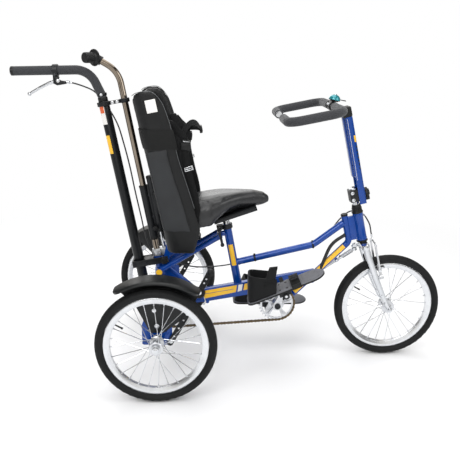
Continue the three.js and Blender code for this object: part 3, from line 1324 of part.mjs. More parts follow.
function brakeArmGeometry() {
  const half = brakeArm.width / 2;
  const arm = sweep(new THREE.Shape([
    [-half, -brakeArm.thickness / 2], [half, -brakeArm.thickness / 2], [half, brakeArm.thickness / 2], [-half, brakeArm.thickness / 2],
  ].map(([x, y]) => new THREE.Vector2(x, y))), [
    vec(brakeArm.f, brakeArm.pivotY, brakeArm.pivotU - half), vec(brakeArm.f, brakeArm.padY, brakeArm.padU),
    vec(brakeArm.f, brakeArm.topY, brakeArm.topU),
  ]);
  const padInner = brakeArm.padReach;
  const pad = block(
    brakeArm.f - brakeArm.padLength / 2, brakeArm.f + brakeArm.padLength / 2, padInner, padInner + brakeArm.padDepth,
    brakeArm.padU - brakeArm.padHeight / 2, brakeArm.padU + brakeArm.padHeight / 2,
  );
  const post = rod(
    vec(brakeArm.f, padInner + brakeArm.padDepth / 2, brakeArm.padU), vec(brakeArm.f, brakeArm.padY, brakeArm.padU),
    brakeArm.postRadius, thinSides,
  );
  return join(arm, pad, post);
}

const brakeArmSolid = brakeArmGeometry();
for (const { name, y } of sides) {
  part(`front_brake_arm_${name}`, mirrored(brakeArmSolid, y), castMetal, steering);
}

// Handlebar post that slides in its clamp, with knob, cap, handlebar, grips and bell
function postGeometry() {
  const frontF = barPost.rearF + barPost.depth;
  const tubeBody = block(barPost.rearF, frontF, -barPost.halfWidth, barPost.halfWidth, barPost.lowU, barPost.topU);
  const rail = block(
    barPost.railRearF, barPost.rearF + weld, -barPost.railHalf, barPost.railHalf, barPost.railLowU, barPost.topU,
  );
  const innerHalf = barPost.halfWidth - barPost.wall;
  const hollow = block(
    barPost.railRearF, frontF - barPost.wall, -innerHalf, innerHalf, barPost.lowU - overrun, barPost.hollowTopU,
  );
  const slot = block(
    barPost.rearF, frontF + overrun, -barPost.slotHalf, barPost.slotHalf, barPost.slotLowU, barPost.slotTopU,
  );
  return cut(join(tubeBody, rail), hollow, slot);
}

part('handlebar_post', postGeometry(), paint, steering);

function postClampGeometry() {
  const top = postClamp.lowU + postClamp.height;
  const innerF = barPost.rearF + barPost.depth - barPost.wall - gap;
  const body = block(postClamp.rearF, innerF, -postClamp.halfWidth, postClamp.halfWidth, postClamp.lowU, top);
  const bolt = rod(
    vec(0, 0, postClamp.boltU), vec(postClamp.boltEndF, 0, postClamp.boltU), postClamp.boltRadius, thinSides,
  );
  const hole = bore(vec(0, 0, postClamp.lowU - overrun), vec(0, 0, fork.steererTop + gap), fork.steererRadius);
  return join(cut(body, hole), bolt);
}

part('post_clamp', postClampGeometry(), castMetal, steering);

function knobGeometry() {
  const outline = [];
  for (let i = 0; i < postKnob.lobes; i++) {
    const middle = i / postKnob.lobes * 2 * Math.PI;
    const spread = Math.PI / postKnob.lobes / 2;
    outline.push(...arc(0, 0, postKnob.radius, middle - spread, middle + spread, postKnob.steps));
    outline.push([postKnob.hubRadius * Math.cos(middle + 2 * spread), postKnob.hubRadius * Math.sin(middle + 2 * spread)]);
  }
  const frontF = barPost.rearF + barPost.depth + gap;
  const body = slice(outline, 0, postKnob.height).rotateY(Math.PI / 2).translate(frontF, 0, postClamp.boltU);
  return cut(body, bore(
    vec(frontF - overrun, 0, postClamp.boltU), vec(postClamp.boltEndF + gap, 0, postClamp.boltU), postClamp.boltRadius,
  ));
}

part('post_knob', knobGeometry(), blackPlastic, steering);

function postCapGeometry() {
  const frontF = barPost.rearF + barPost.depth;
  return block(
    barPost.railRearF, frontF + postCap.wall, -barPost.halfWidth - postCap.wall, barPost.halfWidth + postCap.wall,
    barPost.topU + gap, barPost.topU + gap + postCap.height,
  );
}

part('handlebar_post_cap', postCapGeometry(), blackPlastic, steering);

// The handlebar lies in a plane that falls gently toward the rider
const barFrame = new THREE.Group();
barFrame.position.set(bar.f, 0, bar.u);
barFrame.rotation.y = head.lean - bar.tilt;
steering.add(barFrame);

function barPath(side) {
  return [
    vec(0, 0, 0), vec(0, side * bar.halfSpread, 0), vec(-bar.armLength, side * bar.halfSpread, 0),
    vec(-bar.armLength, side * (bar.halfSpread - bar.turnIn), 0),
  ];
}

function handlebarGeometry() {
  const [near, far] = [barPath(-1), barPath(1)];
  const inset = (points) => {
    const end = points[3].clone();
    end.y += Math.sign(points[3].y) * overrun;
    return [points[1], points[2], end];
  };
  const stations = [...inset(near).reverse(), ...inset(far)];
  return tube(stations, bar.radius, bar.bend);
}

part('handlebar', handlebarGeometry(), chrome, barFrame);

for (const { name, y } of sides) {
  const points = barPath(y);
  points[0] = vec(0, y * bar.bareHalf, 0);
  const inset = points.map((p) => p.clone());
  inset[0].y -= y * overrun;
  inset[3].y += y * (overrun - gap);
  const sleeveGeometry = cut(tube(points, bar.foamRadius, bar.bend), tube(inset, bar.radius + gap, bar.bend));
  part(`${name}_bar_grip`, sleeveGeometry, foam, barFrame);
}

function barClampGeometry() {
  const ring = rodAcross(bar.f, bar.u, -barClamp.halfWidth, barClamp.halfWidth, barClamp.radius, roundSides);
  const arm = block(
    bar.f, barPost.railRearF - gap, -barClamp.armHalf, barClamp.armHalf, bar.u - barClamp.armHeight, bar.u,
  );
  const reach = barClamp.halfWidth + overrun;
  return cut(join(ring, arm), boreAcross(bar.f, bar.u, -reach, reach, bar.radius));
}

part('handlebar_clamp', barClampGeometry(), blackPlastic, steering);

function bellGeometry() {
  return lathe([
    [0, 0], [bell.radius * 0.7, 0], [bell.radius, bell.baseHeight], [bell.radius, bell.height * 0.62],
    [bell.radius * 0.8, bell.height * 0.9], [bell.radius * 0.4, bell.height], [0, bell.height],
  ]).rotateX(Math.PI / 2);
}

const bellMount = new THREE.Group();
const bellReach = barClamp.radius + gap;
bellMount.position.set(bar.f + bellReach * Math.sin(bell.turn), bell.y, bar.u + bellReach * Math.cos(bell.turn));
bellMount.rotation.y = bell.turn;
steering.add(bellMount);
part('bell', bellGeometry(), tealPaint, bellMount);

function bellLeverGeometry() {
  const start = bell.radius + gap * 2;
  const middle = bell.baseHeight + bell.leverThick;
  return block(start, start + bell.leverLength, -bell.leverWidth / 2, bell.leverWidth / 2, middle, middle + bell.leverThick);
}

part('bell_lever', bellLeverGeometry(), blackPlastic, bellMount);

// Brake lever body and blade on the push handle
const leverBodyShares = [
  [0, 0.3], [0.42, 0.3], [0.5, 0.66], [1, 0.7], [1, 0.9], [0.3, 0.98], [0, 0.84],
];

function gripAxisZ(x) {
  return pushBar.cornerZ + (x - pushBar.cornerX) * (pushBar.gripEndZ - pushBar.cornerZ) / (pushBar.gripEndX - pushBar.cornerX);
}

function leverBodyGeometry() {
  const z = gripAxisZ(lever.clampX);
  const ring = rod(
    vec(lever.clampX - lever.ringHalf, 0, z), vec(lever.clampX + lever.ringHalf, 0, z), lever.ringRadius, roundSides,
  );
  const body = slab(
    leverBodyShares.map(([along, down]) => [
      lever.clampX - lever.ringHalf + along * lever.bodyLength, z - down * lever.bodyDrop,
    ]), -lever.bodyHalf, lever.bodyHalf,
  );
  const reach = lever.bodyLength;
  const hole = bore(
    vec(lever.clampX - reach, 0, gripAxisZ(lever.clampX - reach)), vec(lever.clampX + reach, 0, gripAxisZ(lever.clampX + reach)),
    pushBar.gripRadius,
  );
  const slot = block(
    lever.clampX - lever.bodyLength, lever.pivotX + lever.radius * 2, -lever.radius - gap, lever.radius + gap,
    z - lever.bodyDrop - overrun, lever.pivotZ + lever.eyeRadius + overrun / 2,
  );
  const pin = rodAcross(lever.pivotX, lever.pivotZ, -lever.bodyHalf + weld, lever.bodyHalf - weld, lever.pinRadius, thinSides);
  return join(cut(join(ring, body), hole, slot), pin);
}

function leverBladeGeometry() {
  const blade = tube([
    vec(lever.pivotX, 0, lever.pivotZ), vec(lever.kneeX, 0, lever.kneeZ), vec(lever.tipX, 0, lever.tipZ),
  ], lever.radius, lever.radius * 4, thinSides);
  const eye = rodAcross(lever.pivotX, lever.pivotZ, -lever.radius, lever.radius, lever.eyeRadius);
  const reach = lever.bodyHalf + overrun;
  return cut(join(blade, eye), boreAcross(lever.pivotX, lever.pivotZ, -reach, reach, lever.pinRadius));
}

part('brake_lever_body', leverBodyGeometry(), blackPlastic);
part('brake_lever', leverBladeGeometry(), castMetal);

// Brake cable: from the lever, down between push bar and column, along the top tube to the head tube
const cableRadius = 2.6;
const frameCable = [
  vec(-306, 0, 1016), vec(-292, 1, 1014), vec(-257, 10, 1003), vec(-222, 24, 985), vec(-196, 30, 955), vec(-170, 29, 918),
  vec(-143, 10, 872), vec(-124, 0, 810), vec(-106, 0, 730), vec(-90, 0, 640), vec(-72, 4, 545), vec(-62, 30, 470),
  vec(-48, 46, 420), vec(-28, 56, 380), vec(10, 58, 356), vec(66, 34, 352), vec(130, 20, 347), vec(200, 18.5, 350),
  vec(262, 18.5, 360), vec(320, 16, 382.5), vec(420, 16, 407), vec(520, 16, 430), vec(580, 16, 455), vec(625, 17, 495),
  vec(656, 20, 535), vec(690, 27, 560), vec(714, 30, 561), vec(731.2, 17.1, 557.6), vec(741.2, 2, 551.9),
];
const frontCable = [
  vec(742.4, 0.4, 549.8), vec(751, 0, 537), vec(761, -2, 518), vec(767, -9, 488), vec(772, -18, 467), vec(778, -31, 455.5),
];
part('brake_cable', cable(frameCable, cableRadius, 60), rubber);
part('front_brake_cable', cable(frontCable, cableRadius, 14), rubber);

// The origin lies on the ground under the middle of the whole length
const extent = new THREE.Box3().setFromObject(tricycle, true);
tricycle.position.x = -(extent.min.x + extent.max.x) / 2;

export default tricycle;
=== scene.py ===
import json
from math import acos, atan2, cos, hypot, pi, radians, sin, sqrt, tan

import bmesh
import bpy
import numpy
from mathutils import Matrix, Vector, noise


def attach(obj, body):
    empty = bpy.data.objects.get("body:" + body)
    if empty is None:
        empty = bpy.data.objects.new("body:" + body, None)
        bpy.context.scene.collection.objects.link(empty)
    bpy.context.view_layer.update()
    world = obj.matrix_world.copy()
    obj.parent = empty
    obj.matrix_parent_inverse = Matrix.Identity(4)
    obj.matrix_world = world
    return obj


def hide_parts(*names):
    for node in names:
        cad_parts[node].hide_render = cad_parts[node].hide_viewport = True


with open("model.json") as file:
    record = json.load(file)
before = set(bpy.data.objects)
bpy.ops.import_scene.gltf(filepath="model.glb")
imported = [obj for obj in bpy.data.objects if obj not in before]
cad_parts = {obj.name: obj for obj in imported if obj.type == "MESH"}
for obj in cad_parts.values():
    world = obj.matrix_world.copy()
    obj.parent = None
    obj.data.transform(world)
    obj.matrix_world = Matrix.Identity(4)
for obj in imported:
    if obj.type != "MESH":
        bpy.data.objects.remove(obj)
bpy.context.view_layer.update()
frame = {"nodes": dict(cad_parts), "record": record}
record = frame["record"]
body_of_node = {node: body for body, nodes in record["behaviour"]["bodies"].items() for node in nodes}

# The main places in millimetres and the leans in degrees, as the solids have them
wheel_radius, wheelbase, half_track = 200, 849, 325.5
head_x, head_z, head_lean, head_half = 725, 513, 13.4, 52
fork_rake = 48.1
column_x0, column_z0, column_lean = -24, 458, 10.4
back_x, back_z, back_lean = 20, 505, 11.7
seat_x, seat_z, seat_lean, seat_tube_length = 282, 284, 10.9, 242
beam_x, beam_middle, beam_slope = 245, 261.5, 10.3
bracket_x, bracket_z, crank_length = 424, 226, 78
guard_x, guard_z = 137, 277
bar_x, bar_z = -23.5, 448.3
push_f, post_f = -71.5, 29.5

# Frames that take millimetres and give metres: the level ground frame and those that lean
shift = -0.2792627797
ground = Matrix.Translation((shift, 0, 0)) @ Matrix.Scale(0.001, 4)
to_mm = ground.inverted()


def tilt(angle):
    return Matrix.Rotation(radians(angle), 4, "Y")


def sideways(place, side=1):
    """Turns the Z axis to the far side, or to the near side with side -1."""
    return Matrix.Translation(place) @ Matrix.Rotation(radians(-90 * side), 4, "X")


def facing(place, way):
    """Turns the Z axis along a direction."""
    return Matrix.Translation(place) @ Vector(way).to_track_quat("Z", "Y").to_matrix().to_4x4()


def leaning(x, z, lean):
    return ground @ Matrix.Translation((x, 0, z)) @ tilt(-lean)


def seat_tube(along):
    return Vector((seat_x - along * sin(radians(seat_lean)), 0, seat_z + along * cos(radians(seat_lean))))


def column_x(z):
    return column_x0 - (z - column_z0) * tan(radians(column_lean))


def beam_z(x):
    return beam_middle + (x - beam_x) * tan(radians(beam_slope))


steer = leaning(head_x, head_z, head_lean)
rear = leaning(column_x0, column_z0, column_lean)
back = leaning(back_x, back_z, back_lean)
seat_top = seat_tube(seat_tube_length)
post = leaning(seat_top.x, seat_top.z, seat_lean)


def steer_point(f, y, u):
    return to_mm @ (steer @ Vector((f, y, u)))


def rear_point(f, y, u):
    return to_mm @ (rear @ Vector((f, y, u)))


# Finishes
def colour(text):
    parts = [int(text[i:i + 2], 16) / 255 for i in (1, 3, 5)]
    return [c / 12.92 if c <= 0.04045 else ((c + 0.055) / 1.055) ** 2.4 for c in parts] + [1]


def finish(name, base, rough, metal=0.0, tint=None, mottle=30, mottle_share=0.25, grain=None, grain_depth=0.1,
           grain_kind="noise", coat=0.0, sheen=0.0, spread=0.08, specular=0.5, wear=None):
    """A shader whose colour and gloss drift a little, with a fine grain and, given wear, paler edges."""
    material = bpy.data.materials.new(name)
    material.use_nodes = True
    nodes, links = material.node_tree.nodes, material.node_tree.links
    shader = nodes["Principled BSDF"]
    for socket, value in (("Metallic", metal), ("Coat Weight", coat), ("Coat Roughness", 0.06),
                          ("Sheen Weight", sheen),
                          ("Sheen Roughness", 0.4), ("Specular IOR Level", specular)):
        shader.inputs[socket].default_value = value
    place = nodes.new("ShaderNodeTexCoord")
    cloud = nodes.new("ShaderNodeTexNoise")
    cloud.inputs["Scale"].default_value = mottle
    cloud.inputs["Detail"].default_value = 5
    links.new(place.outputs["Object"], cloud.inputs["Vector"])
    ramp = nodes.new("ShaderNodeValToRGB")
    ramp.color_ramp.elements[0].position = 0.5 - mottle_share
    ramp.color_ramp.elements[1].position = 0.5 + mottle_share
    ramp.color_ramp.elements[0].color = colour(tint or base)
    ramp.color_ramp.elements[1].color = colour(base)
    links.new(cloud.outputs["Fac"], ramp.inputs["Fac"])
    shown = ramp.outputs["Color"]
    if wear:
        edge = nodes.new("ShaderNodeNewGeometry")
        worn = nodes.new("ShaderNodeMapRange")
        worn.inputs["From Min"].default_value = 0.53
        worn.inputs["From Max"].default_value = 0.62
        worn.inputs["To Max"].default_value = 0.6
        links.new(edge.outputs["Pointiness"], worn.inputs["Value"])
        blend = nodes.new("ShaderNodeMix")
        blend.data_type = "RGBA"
        blend.inputs["B"].default_value = colour(wear)
        links.new(worn.outputs["Result"], blend.inputs["Factor"])
        links.new(shown, blend.inputs["A"])
        shown = blend.outputs["Result"]
    links.new(shown, shader.inputs["Base Color"])
    gloss = nodes.new("ShaderNodeMapRange")
    gloss.inputs["To Min"].default_value = max(rough - spread, 0.02)
    gloss.inputs["To Max"].default_value = min(rough + spread, 1)
    links.new(cloud.outputs["Fac"], gloss.inputs["Value"])
    links.new(gloss.outputs["Result"], shader.inputs["Roughness"])
    if grain:
        bump = nodes.new("ShaderNodeBump")
        bump.inputs["Strength"].default_value = grain_depth
        bump.inputs["Distance"].default_value = 0.001
        if grain_kind == "weave":
            first = nodes.new("ShaderNodeTexWave")
            second = nodes.new("ShaderNodeTexWave")
            second.bands_direction = "Z"
            height = nodes.new("ShaderNodeMath")
            height.operation = "MULTIPLY"
            for index, wave in enumerate((first, second)):
                wave.inputs["Scale"].default_value = grain
                wave.inputs["Distortion"].default_value = 0.6
                links.new(place.outputs["Object"], wave.inputs["Vector"])
                links.new(wave.outputs["Fac"], height.inputs[index])
            links.new(height.outputs["Value"], bump.inputs["Height"])
        else:
            kind = "ShaderNodeTexVoronoi" if grain_kind == "cells" else "ShaderNodeTexNoise"
            texture = nodes.new(kind)
            texture.inputs["Scale"].default_value = grain
            links.new(place.outputs["Object"], texture.inputs["Vector"])
            links.new(texture.outputs[0], bump.inputs["Height"])
        links.new(bump.outputs["Normal"], shader.inputs["Normal"])
    return material


enamel = finish("blue_enamel", "#02429a", 0.22, 0.15, "#023884", 700, 0.2, coat=0.5, spread=0.03, grain=900,
                grain_depth=0.02, specular=0.25)
smoked_chrome = finish("smoked_chrome", "#9c9184", 0.12, 1.0, "#857a6d", 18, spread=0.04, grain=400,
                       grain_depth=0.01)
chrome = finish("bright_chrome", "#dfe1e4", 0.1, 1.0, "#cfd2d6", 18, spread=0.04, grain=400, grain_depth=0.01)
alloy = finish("satin_alloy", "#d9dbde", 0.3, 1.0, "#c6c8cc", 60, grain=600, grain_depth=0.05)
rim_alloy = finish("polished_rim", "#e3e5e8", 0.22, 0.85, "#d5d7da", 40, spread=0.05)
cast = finish("cast_alloy", "#d5d7d9", 0.42, 0.9, "#b9bbbe", 90, grain=350, grain_depth=0.15)
steel_black = finish("black_powder_coat", "#141618", 0.34, 0.05, "#0f1113", 120, grain=1400,
                     grain_depth=0.08, wear="#2c2e31", specular=0.3)
tyre_rubber = finish("tyre_rubber", "#121314", 0.62, 0, "#0e0f10", 45, grain=900, grain_depth=0.12,
                     specular=0.26)
foam = finish("grip_foam", "#37383c", 0.85, 0, "#2f3033", 260, grain=2200, grain_depth=0.35,
              grain_kind="cells", sheen=0.25)
plastic = finish("black_plastic", "#141516", 0.42, 0, "#101112", 90, grain=1300, grain_depth=0.08,
                 specular=0.32)
fender_plastic = finish("mudguard_plastic", "#17191b", 0.36, 0, "#121415", 30, grain=1100, grain_depth=0.1,
                        specular=0.35)
vinyl = finish("padded_vinyl", "#151617", 0.38, 0, "#101112", 26, grain=620, grain_depth=0.2,
               grain_kind="cells", spread=0.07, specular=0.3)
vinyl_light = finish("side_panel_vinyl", "#2d2f31", 0.42, 0, "#28292b", 22, grain=620, grain_depth=0.2,
                     grain_kind="cells", specular=0.3)
saddle_vinyl = finish("saddle_vinyl", "#232426", 0.3, 0, "#1d1e20", 26, grain=560, grain_depth=0.16,
                      grain_kind="cells", specular=0.55)
webbing = finish("woven_webbing", "#0f1011", 0.7, 0, "#0b0c0d", 120, grain=900, grain_depth=0.5,
                 grain_kind="weave", sheen=0.05, specular=0.25)
neoprene = finish("heel_cup_cloth", "#101113", 0.7, 0, "#0c0d0e", 80, grain=1500, grain_depth=0.3,
                  sheen=0.08, specular=0.25)
tread = finish("foot_plate_rubber", "#6d6e73", 0.62, 0, "#636469", 50, grain=1200, grain_depth=0.2)
chain_steel = finish("oiled_chain", "#75664f", 0.34, 0.9, "#4a3f32", 240, spread=0.12)
dark_steel = finish("dark_bolt", "#3a3b3e", 0.35, 0.9, "#2c2d30", 200)
teal = finish("teal_enamel", "#0e8e98", 0.22, 0.4, "#0b7d88", 300, coat=0.8)
yellow = finish("yellow_vinyl", "#f2c01f", 0.35, 0, "#eab41c", 30, coat=0.4)
pale = finish("pale_vinyl", "#eceae6", 0.4, 0, "#e2e0dc", 30, coat=0.3)
orange = finish("orange_vinyl", "#d9622b", 0.35, 0, "#c95524", 30, coat=0.4)
# The grey of the edge piping is a painted highlight along the backrest wings' front edges.
highlight_piping = finish("edge_piping_painted_highlight", "#595b5d", 0.34, 0, "#4c4e50", 60)
white_face = finish("blank_badge", "#f1f0ec", 0.35, 0, "#e8e6e1", 20, coat=0.2)
dark_thread = finish("sewing_thread", "#0d0e0f", 0.7, 0, "#17181a", 300)
elastic = finish("elastic_band", "#0f1010", 0.5, 0, "#0b0c0c", 60, grain=1500, grain_depth=0.3,
                 grain_kind="weave", sheen=0.05, specular=0.25)
cable_black = finish("cable_sheath", "#141517", 0.42, 0, "#101112", 60, coat=0.3)
hose_rubber = finish("rubber_hose", "#1d1e1e", 0.62, 0, "#171818", 70, grain=800, grain_depth=0.15)
amber = finish("amber_reflector", "#e07a24", 0.15, 0, "#c96416", 60, grain=700, grain_depth=0.5,
               grain_kind="cells", coat=0.7)


# Shapes
def route(points, bend=0.0, step=0.14):
    """Straight runs with a round bend at each corner, as tubes are bent."""
    corners = [Vector(p) for p in points]
    line = [corners[0]]
    for before, corner, after in zip(corners, corners[1:], corners[2:]):
        into, away = (corner - before).normalized(), (after - corner).normalized()
        turn = into.angle(away)
        if bend == 0 or turn < 0.02:
            line.append(corner)
            continue
        reach = min(bend * tan(turn / 2), (corner - before).length * 0.49, (after - corner).length * 0.49)
        radius = reach / tan(turn / 2)
        start = corner - into * reach
        inward = (away - into * into.dot(away)).normalized()
        steps = max(3, int(turn / step))
        for i in range(steps + 1):
            angle = turn * i / steps
            line.append(start + inward * radius * (1 - cos(angle)) + into * radius * sin(angle))
    line.append(corners[-1])
    return line


def curved(points, per=6):
    """An even curve through every point."""
    corners = [Vector(p) for p in points]
    line = []
    for i in range(len(corners) - 1):
        a, b = corners[max(i - 1, 0)], corners[i]
        c, d = corners[i + 1], corners[min(i + 2, len(corners) - 1)]
        for k in range(per):
            t = k / per
            line.append(0.5 * (2 * b + (c - a) * t + (2 * a - 5 * b + 4 * c - d) * t ** 2
                               + (3 * b - a - 3 * c + d) * t ** 3))
    line.append(corners[-1])
    return line


def swept(line, radius, sides=24, flat=1.0, ends=None, section=None):
    """A round or flattened bar along a line; ends gives the radius at each point."""
    bm = bmesh.new()
    sizes = ends or [radius] * len(line)
    heading = [along_at(line, i) for i in range(len(line))]
    if section:
        ring = [bm.verts.new((x, y, 0)) for x, y in section]
        edges = [bm.edges.new((ring[i - 1], ring[i])) for i in range(len(ring))]
    else:
        ring = bmesh.ops.create_circle(bm, radius=1, segments=sides)["verts"]
        bmesh.ops.scale(bm, vec=(flat, 1, 1), verts=ring)
        edges = list(bm.edges)
    first = edges
    aim = heading[0].to_track_quat("Z", "Y").to_matrix()
    for v in ring:
        v.co = line[0] + aim @ (v.co * sizes[0])
    for i in range(1, len(line)):
        grown = bmesh.ops.extrude_edge_only(bm, edges=edges)["geom"]
        verts = {g for g in grown if isinstance(g, bmesh.types.BMVert)}
        edges = [g for g in grown if isinstance(g, bmesh.types.BMEdge) and set(g.verts) <= verts]
        turn = heading[i - 1].rotation_difference(heading[i])
        for v in verts:
            v.co = line[i] + (turn @ (v.co - line[i - 1])) * (sizes[i] / sizes[i - 1])
    bmesh.ops.edgeloop_fill(bm, edges=first)
    bmesh.ops.edgeloop_fill(bm, edges=edges)
    return bm


def turned(profile, steps=48):
    """Radius and height pairs, spun round the Z axis."""
    bm = bmesh.new()
    verts = [bm.verts.new((r, 0, h)) for r, h in profile]
    edges = [bm.edges.new(pair) for pair in zip(verts, verts[1:])]
    bmesh.ops.spin(bm, geom=verts + edges, cent=(0, 0, 0), axis=(0, 0, 1), angle=2 * pi, steps=steps,
                   use_merge=True)
    bmesh.ops.remove_doubles(bm, verts=bm.verts, dist=0.001)
    return bm


def softened(bm, width, segments=2, limit=30):
    """Bevels the edges that are sharper than the limit in degrees."""
    sharp = [e for e in bm.edges if len(e.link_faces) == 2 and e.calc_face_angle(0) > radians(limit)]
    if width and sharp:
        bmesh.ops.bevel(bm, geom=sharp, offset=width, offset_type="OFFSET", segments=segments, profile=0.5,
                        affect="EDGES", clamp_overlap=True, material=-1)
    return bm


def block(x0, x1, y0, y1, z0, z1, soft=0.0):
    (x0, x1), (y0, y1), (z0, z1) = sorted((x0, x1)), sorted((y0, y1)), sorted((z0, z1))
    bm = bmesh.new()
    bmesh.ops.create_cube(bm, size=1)
    bmesh.ops.scale(bm, vec=(x1 - x0, y1 - y0, z1 - z0), verts=bm.verts)
    bmesh.ops.translate(bm, vec=((x0 + x1) / 2, (y0 + y1) / 2, (z0 + z1) / 2), verts=bm.verts)
    return softened(bm, soft)


def plate(outline, low, high, holes=(), soft=0.0, across="Y"):
    """An outline and its holes, given thickness across Y (outline in x, z) or across Z (outline in x, y)."""
    bm = bmesh.new()
    for loop in [outline, *holes]:
        verts = [bm.verts.new((a, low, b) if across == "Y" else (a, b, low)) for a, b in loop]
        for i in range(len(verts)):
            bm.edges.new((verts[i - 1], verts[i]))
    bmesh.ops.triangle_fill(bm, edges=bm.edges, use_beauty=True, use_dissolve=True)
    grown = bmesh.ops.extrude_face_region(bm, geom=list(bm.faces))["geom"]
    thick = (0, high - low, 0) if across == "Y" else (0, 0, high - low)
    bmesh.ops.translate(bm, vec=thick, verts=[g for g in grown if isinstance(g, bmesh.types.BMVert)])
    bmesh.ops.recalc_face_normals(bm, faces=bm.faces)
    return softened(bm, soft)


def bar(start, end, radius, tip=None, sides=24, soft=0.0):
    """A straight round bar between two points."""
    start, end = Vector(start), Vector(end)
    bm = bmesh.new()
    bmesh.ops.create_cone(bm, cap_ends=True, segments=sides, radius1=radius,
                          radius2=radius if tip is None else tip,
                          depth=(end - start).length)
    softened(bm, soft, limit=50)
    bm.transform(facing((start + end) / 2, end - start))
    return bm


def arc(cx, cz, radius, low, high, steps):
    """Points along part of a circle, from one angle to another."""
    return [(cx + radius * cos(low + (high - low) * i / steps),
             cz + radius * sin(low + (high - low) * i / steps))
            for i in range(steps + 1)]


def disc(cx, cz, radius, steps=24):
    return arc(cx, cz, radius, 0, 2 * pi, steps)[:-1]


def capsule(x0, z0, r0, x1, z1, r1, steps=12):
    """The outline round two circles of unlike size."""
    heading = atan2(z1 - z0, x1 - x0)
    return (arc(x0, z0, r0, heading + pi / 2, heading + 3 * pi / 2, steps)
            + arc(x1, z1, r1, heading - pi / 2, heading + pi / 2, steps))


def bolt(place, out, size=5.0, height=3.5):
    """A hexagon head on a washer, facing out."""
    place, out = Vector(place), Vector(out).normalized()
    seat = place + out * height * 0.3
    washer = bar(place, seat, size * 1.35, sides=24)
    head = bar(seat, place + out * height, size, sides=6, soft=size * 0.08)
    return poured(head, poured(washer, bmesh.new()))


def poured(shape, whole):
    """Moves one shape into another."""
    mesh = bpy.data.meshes.new("shape")
    shape.to_mesh(mesh)
    shape.free()
    whole.from_mesh(mesh)
    bpy.data.meshes.remove(mesh)
    return whole


def skinned(bm, rows):
    """Joins rows of points into one skin."""
    for a, b in zip(rows, rows[1:]):
        for i in range(len(a) - 1):
            bm.faces.new((a[i], a[i + 1], b[i + 1], b[i]))
    bmesh.ops.recalc_face_normals(bm, faces=bm.faces)
    return bm


def thickened(bm, thickness):
    bmesh.ops.solidify(bm, geom=list(bm.faces), thickness=thickness)
    return bm


def pipe(outer, inner, low, high, steps=36, lip=0.6):
    """A turned sleeve with a bore and broken outer edges."""
    return turned([(inner, low), (outer - lip, low), (outer, low + lip), (outer, high - lip),
                   (outer - lip, high),
                   (inner, high), (inner, low)], steps)


def along_at(line, i):
    """The direction of a line at one of its points."""
    return (line[min(i + 1, len(line) - 1)] - line[max(i - 1, 0)]).normalized()


def linked(name, data):
    obj = bpy.data.objects.new(name, data)
    bpy.context.scene.collection.objects.link(obj)
    return obj


class Piece:
    """Shapes in millimetres, gathered into one object with a material for each shape."""

    def __init__(self, name):
        self.name = name
        self.bm = bmesh.new()
        self.materials = []

    def add(self, shape, material, matrix=None):
        if matrix is not None:
            shape.transform(matrix)
        bmesh.ops.recalc_face_normals(shape, faces=shape.faces)
        if material not in self.materials:
            self.materials.append(material)
        index = self.materials.index(material)
        for face in shape.faces:
            face.material_index = index
        poured(shape, self.bm)
        return self

    def place(self, matrix, nodes=(), body=None, slot=None, smooth=32):
        self.bm.transform(matrix)
        mesh = bpy.data.meshes.new(self.name)
        self.bm.to_mesh(mesh)
        self.bm.free()
        for material in self.materials:
            mesh.materials.append(material)
        obj = linked(self.name, mesh)
        for polygon in mesh.polygons:
            polygon.use_smooth = True
        mesh.set_sharp_from_angle(angle=radians(smooth))
        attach(obj, body or body_of_node[nodes[0]])
        if nodes:
            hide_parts(*nodes)
        return obj


# Camera, light and floor
def math_node(nodes, operation):
    node = nodes.new("ShaderNodeMath")
    node.operation = operation
    return node


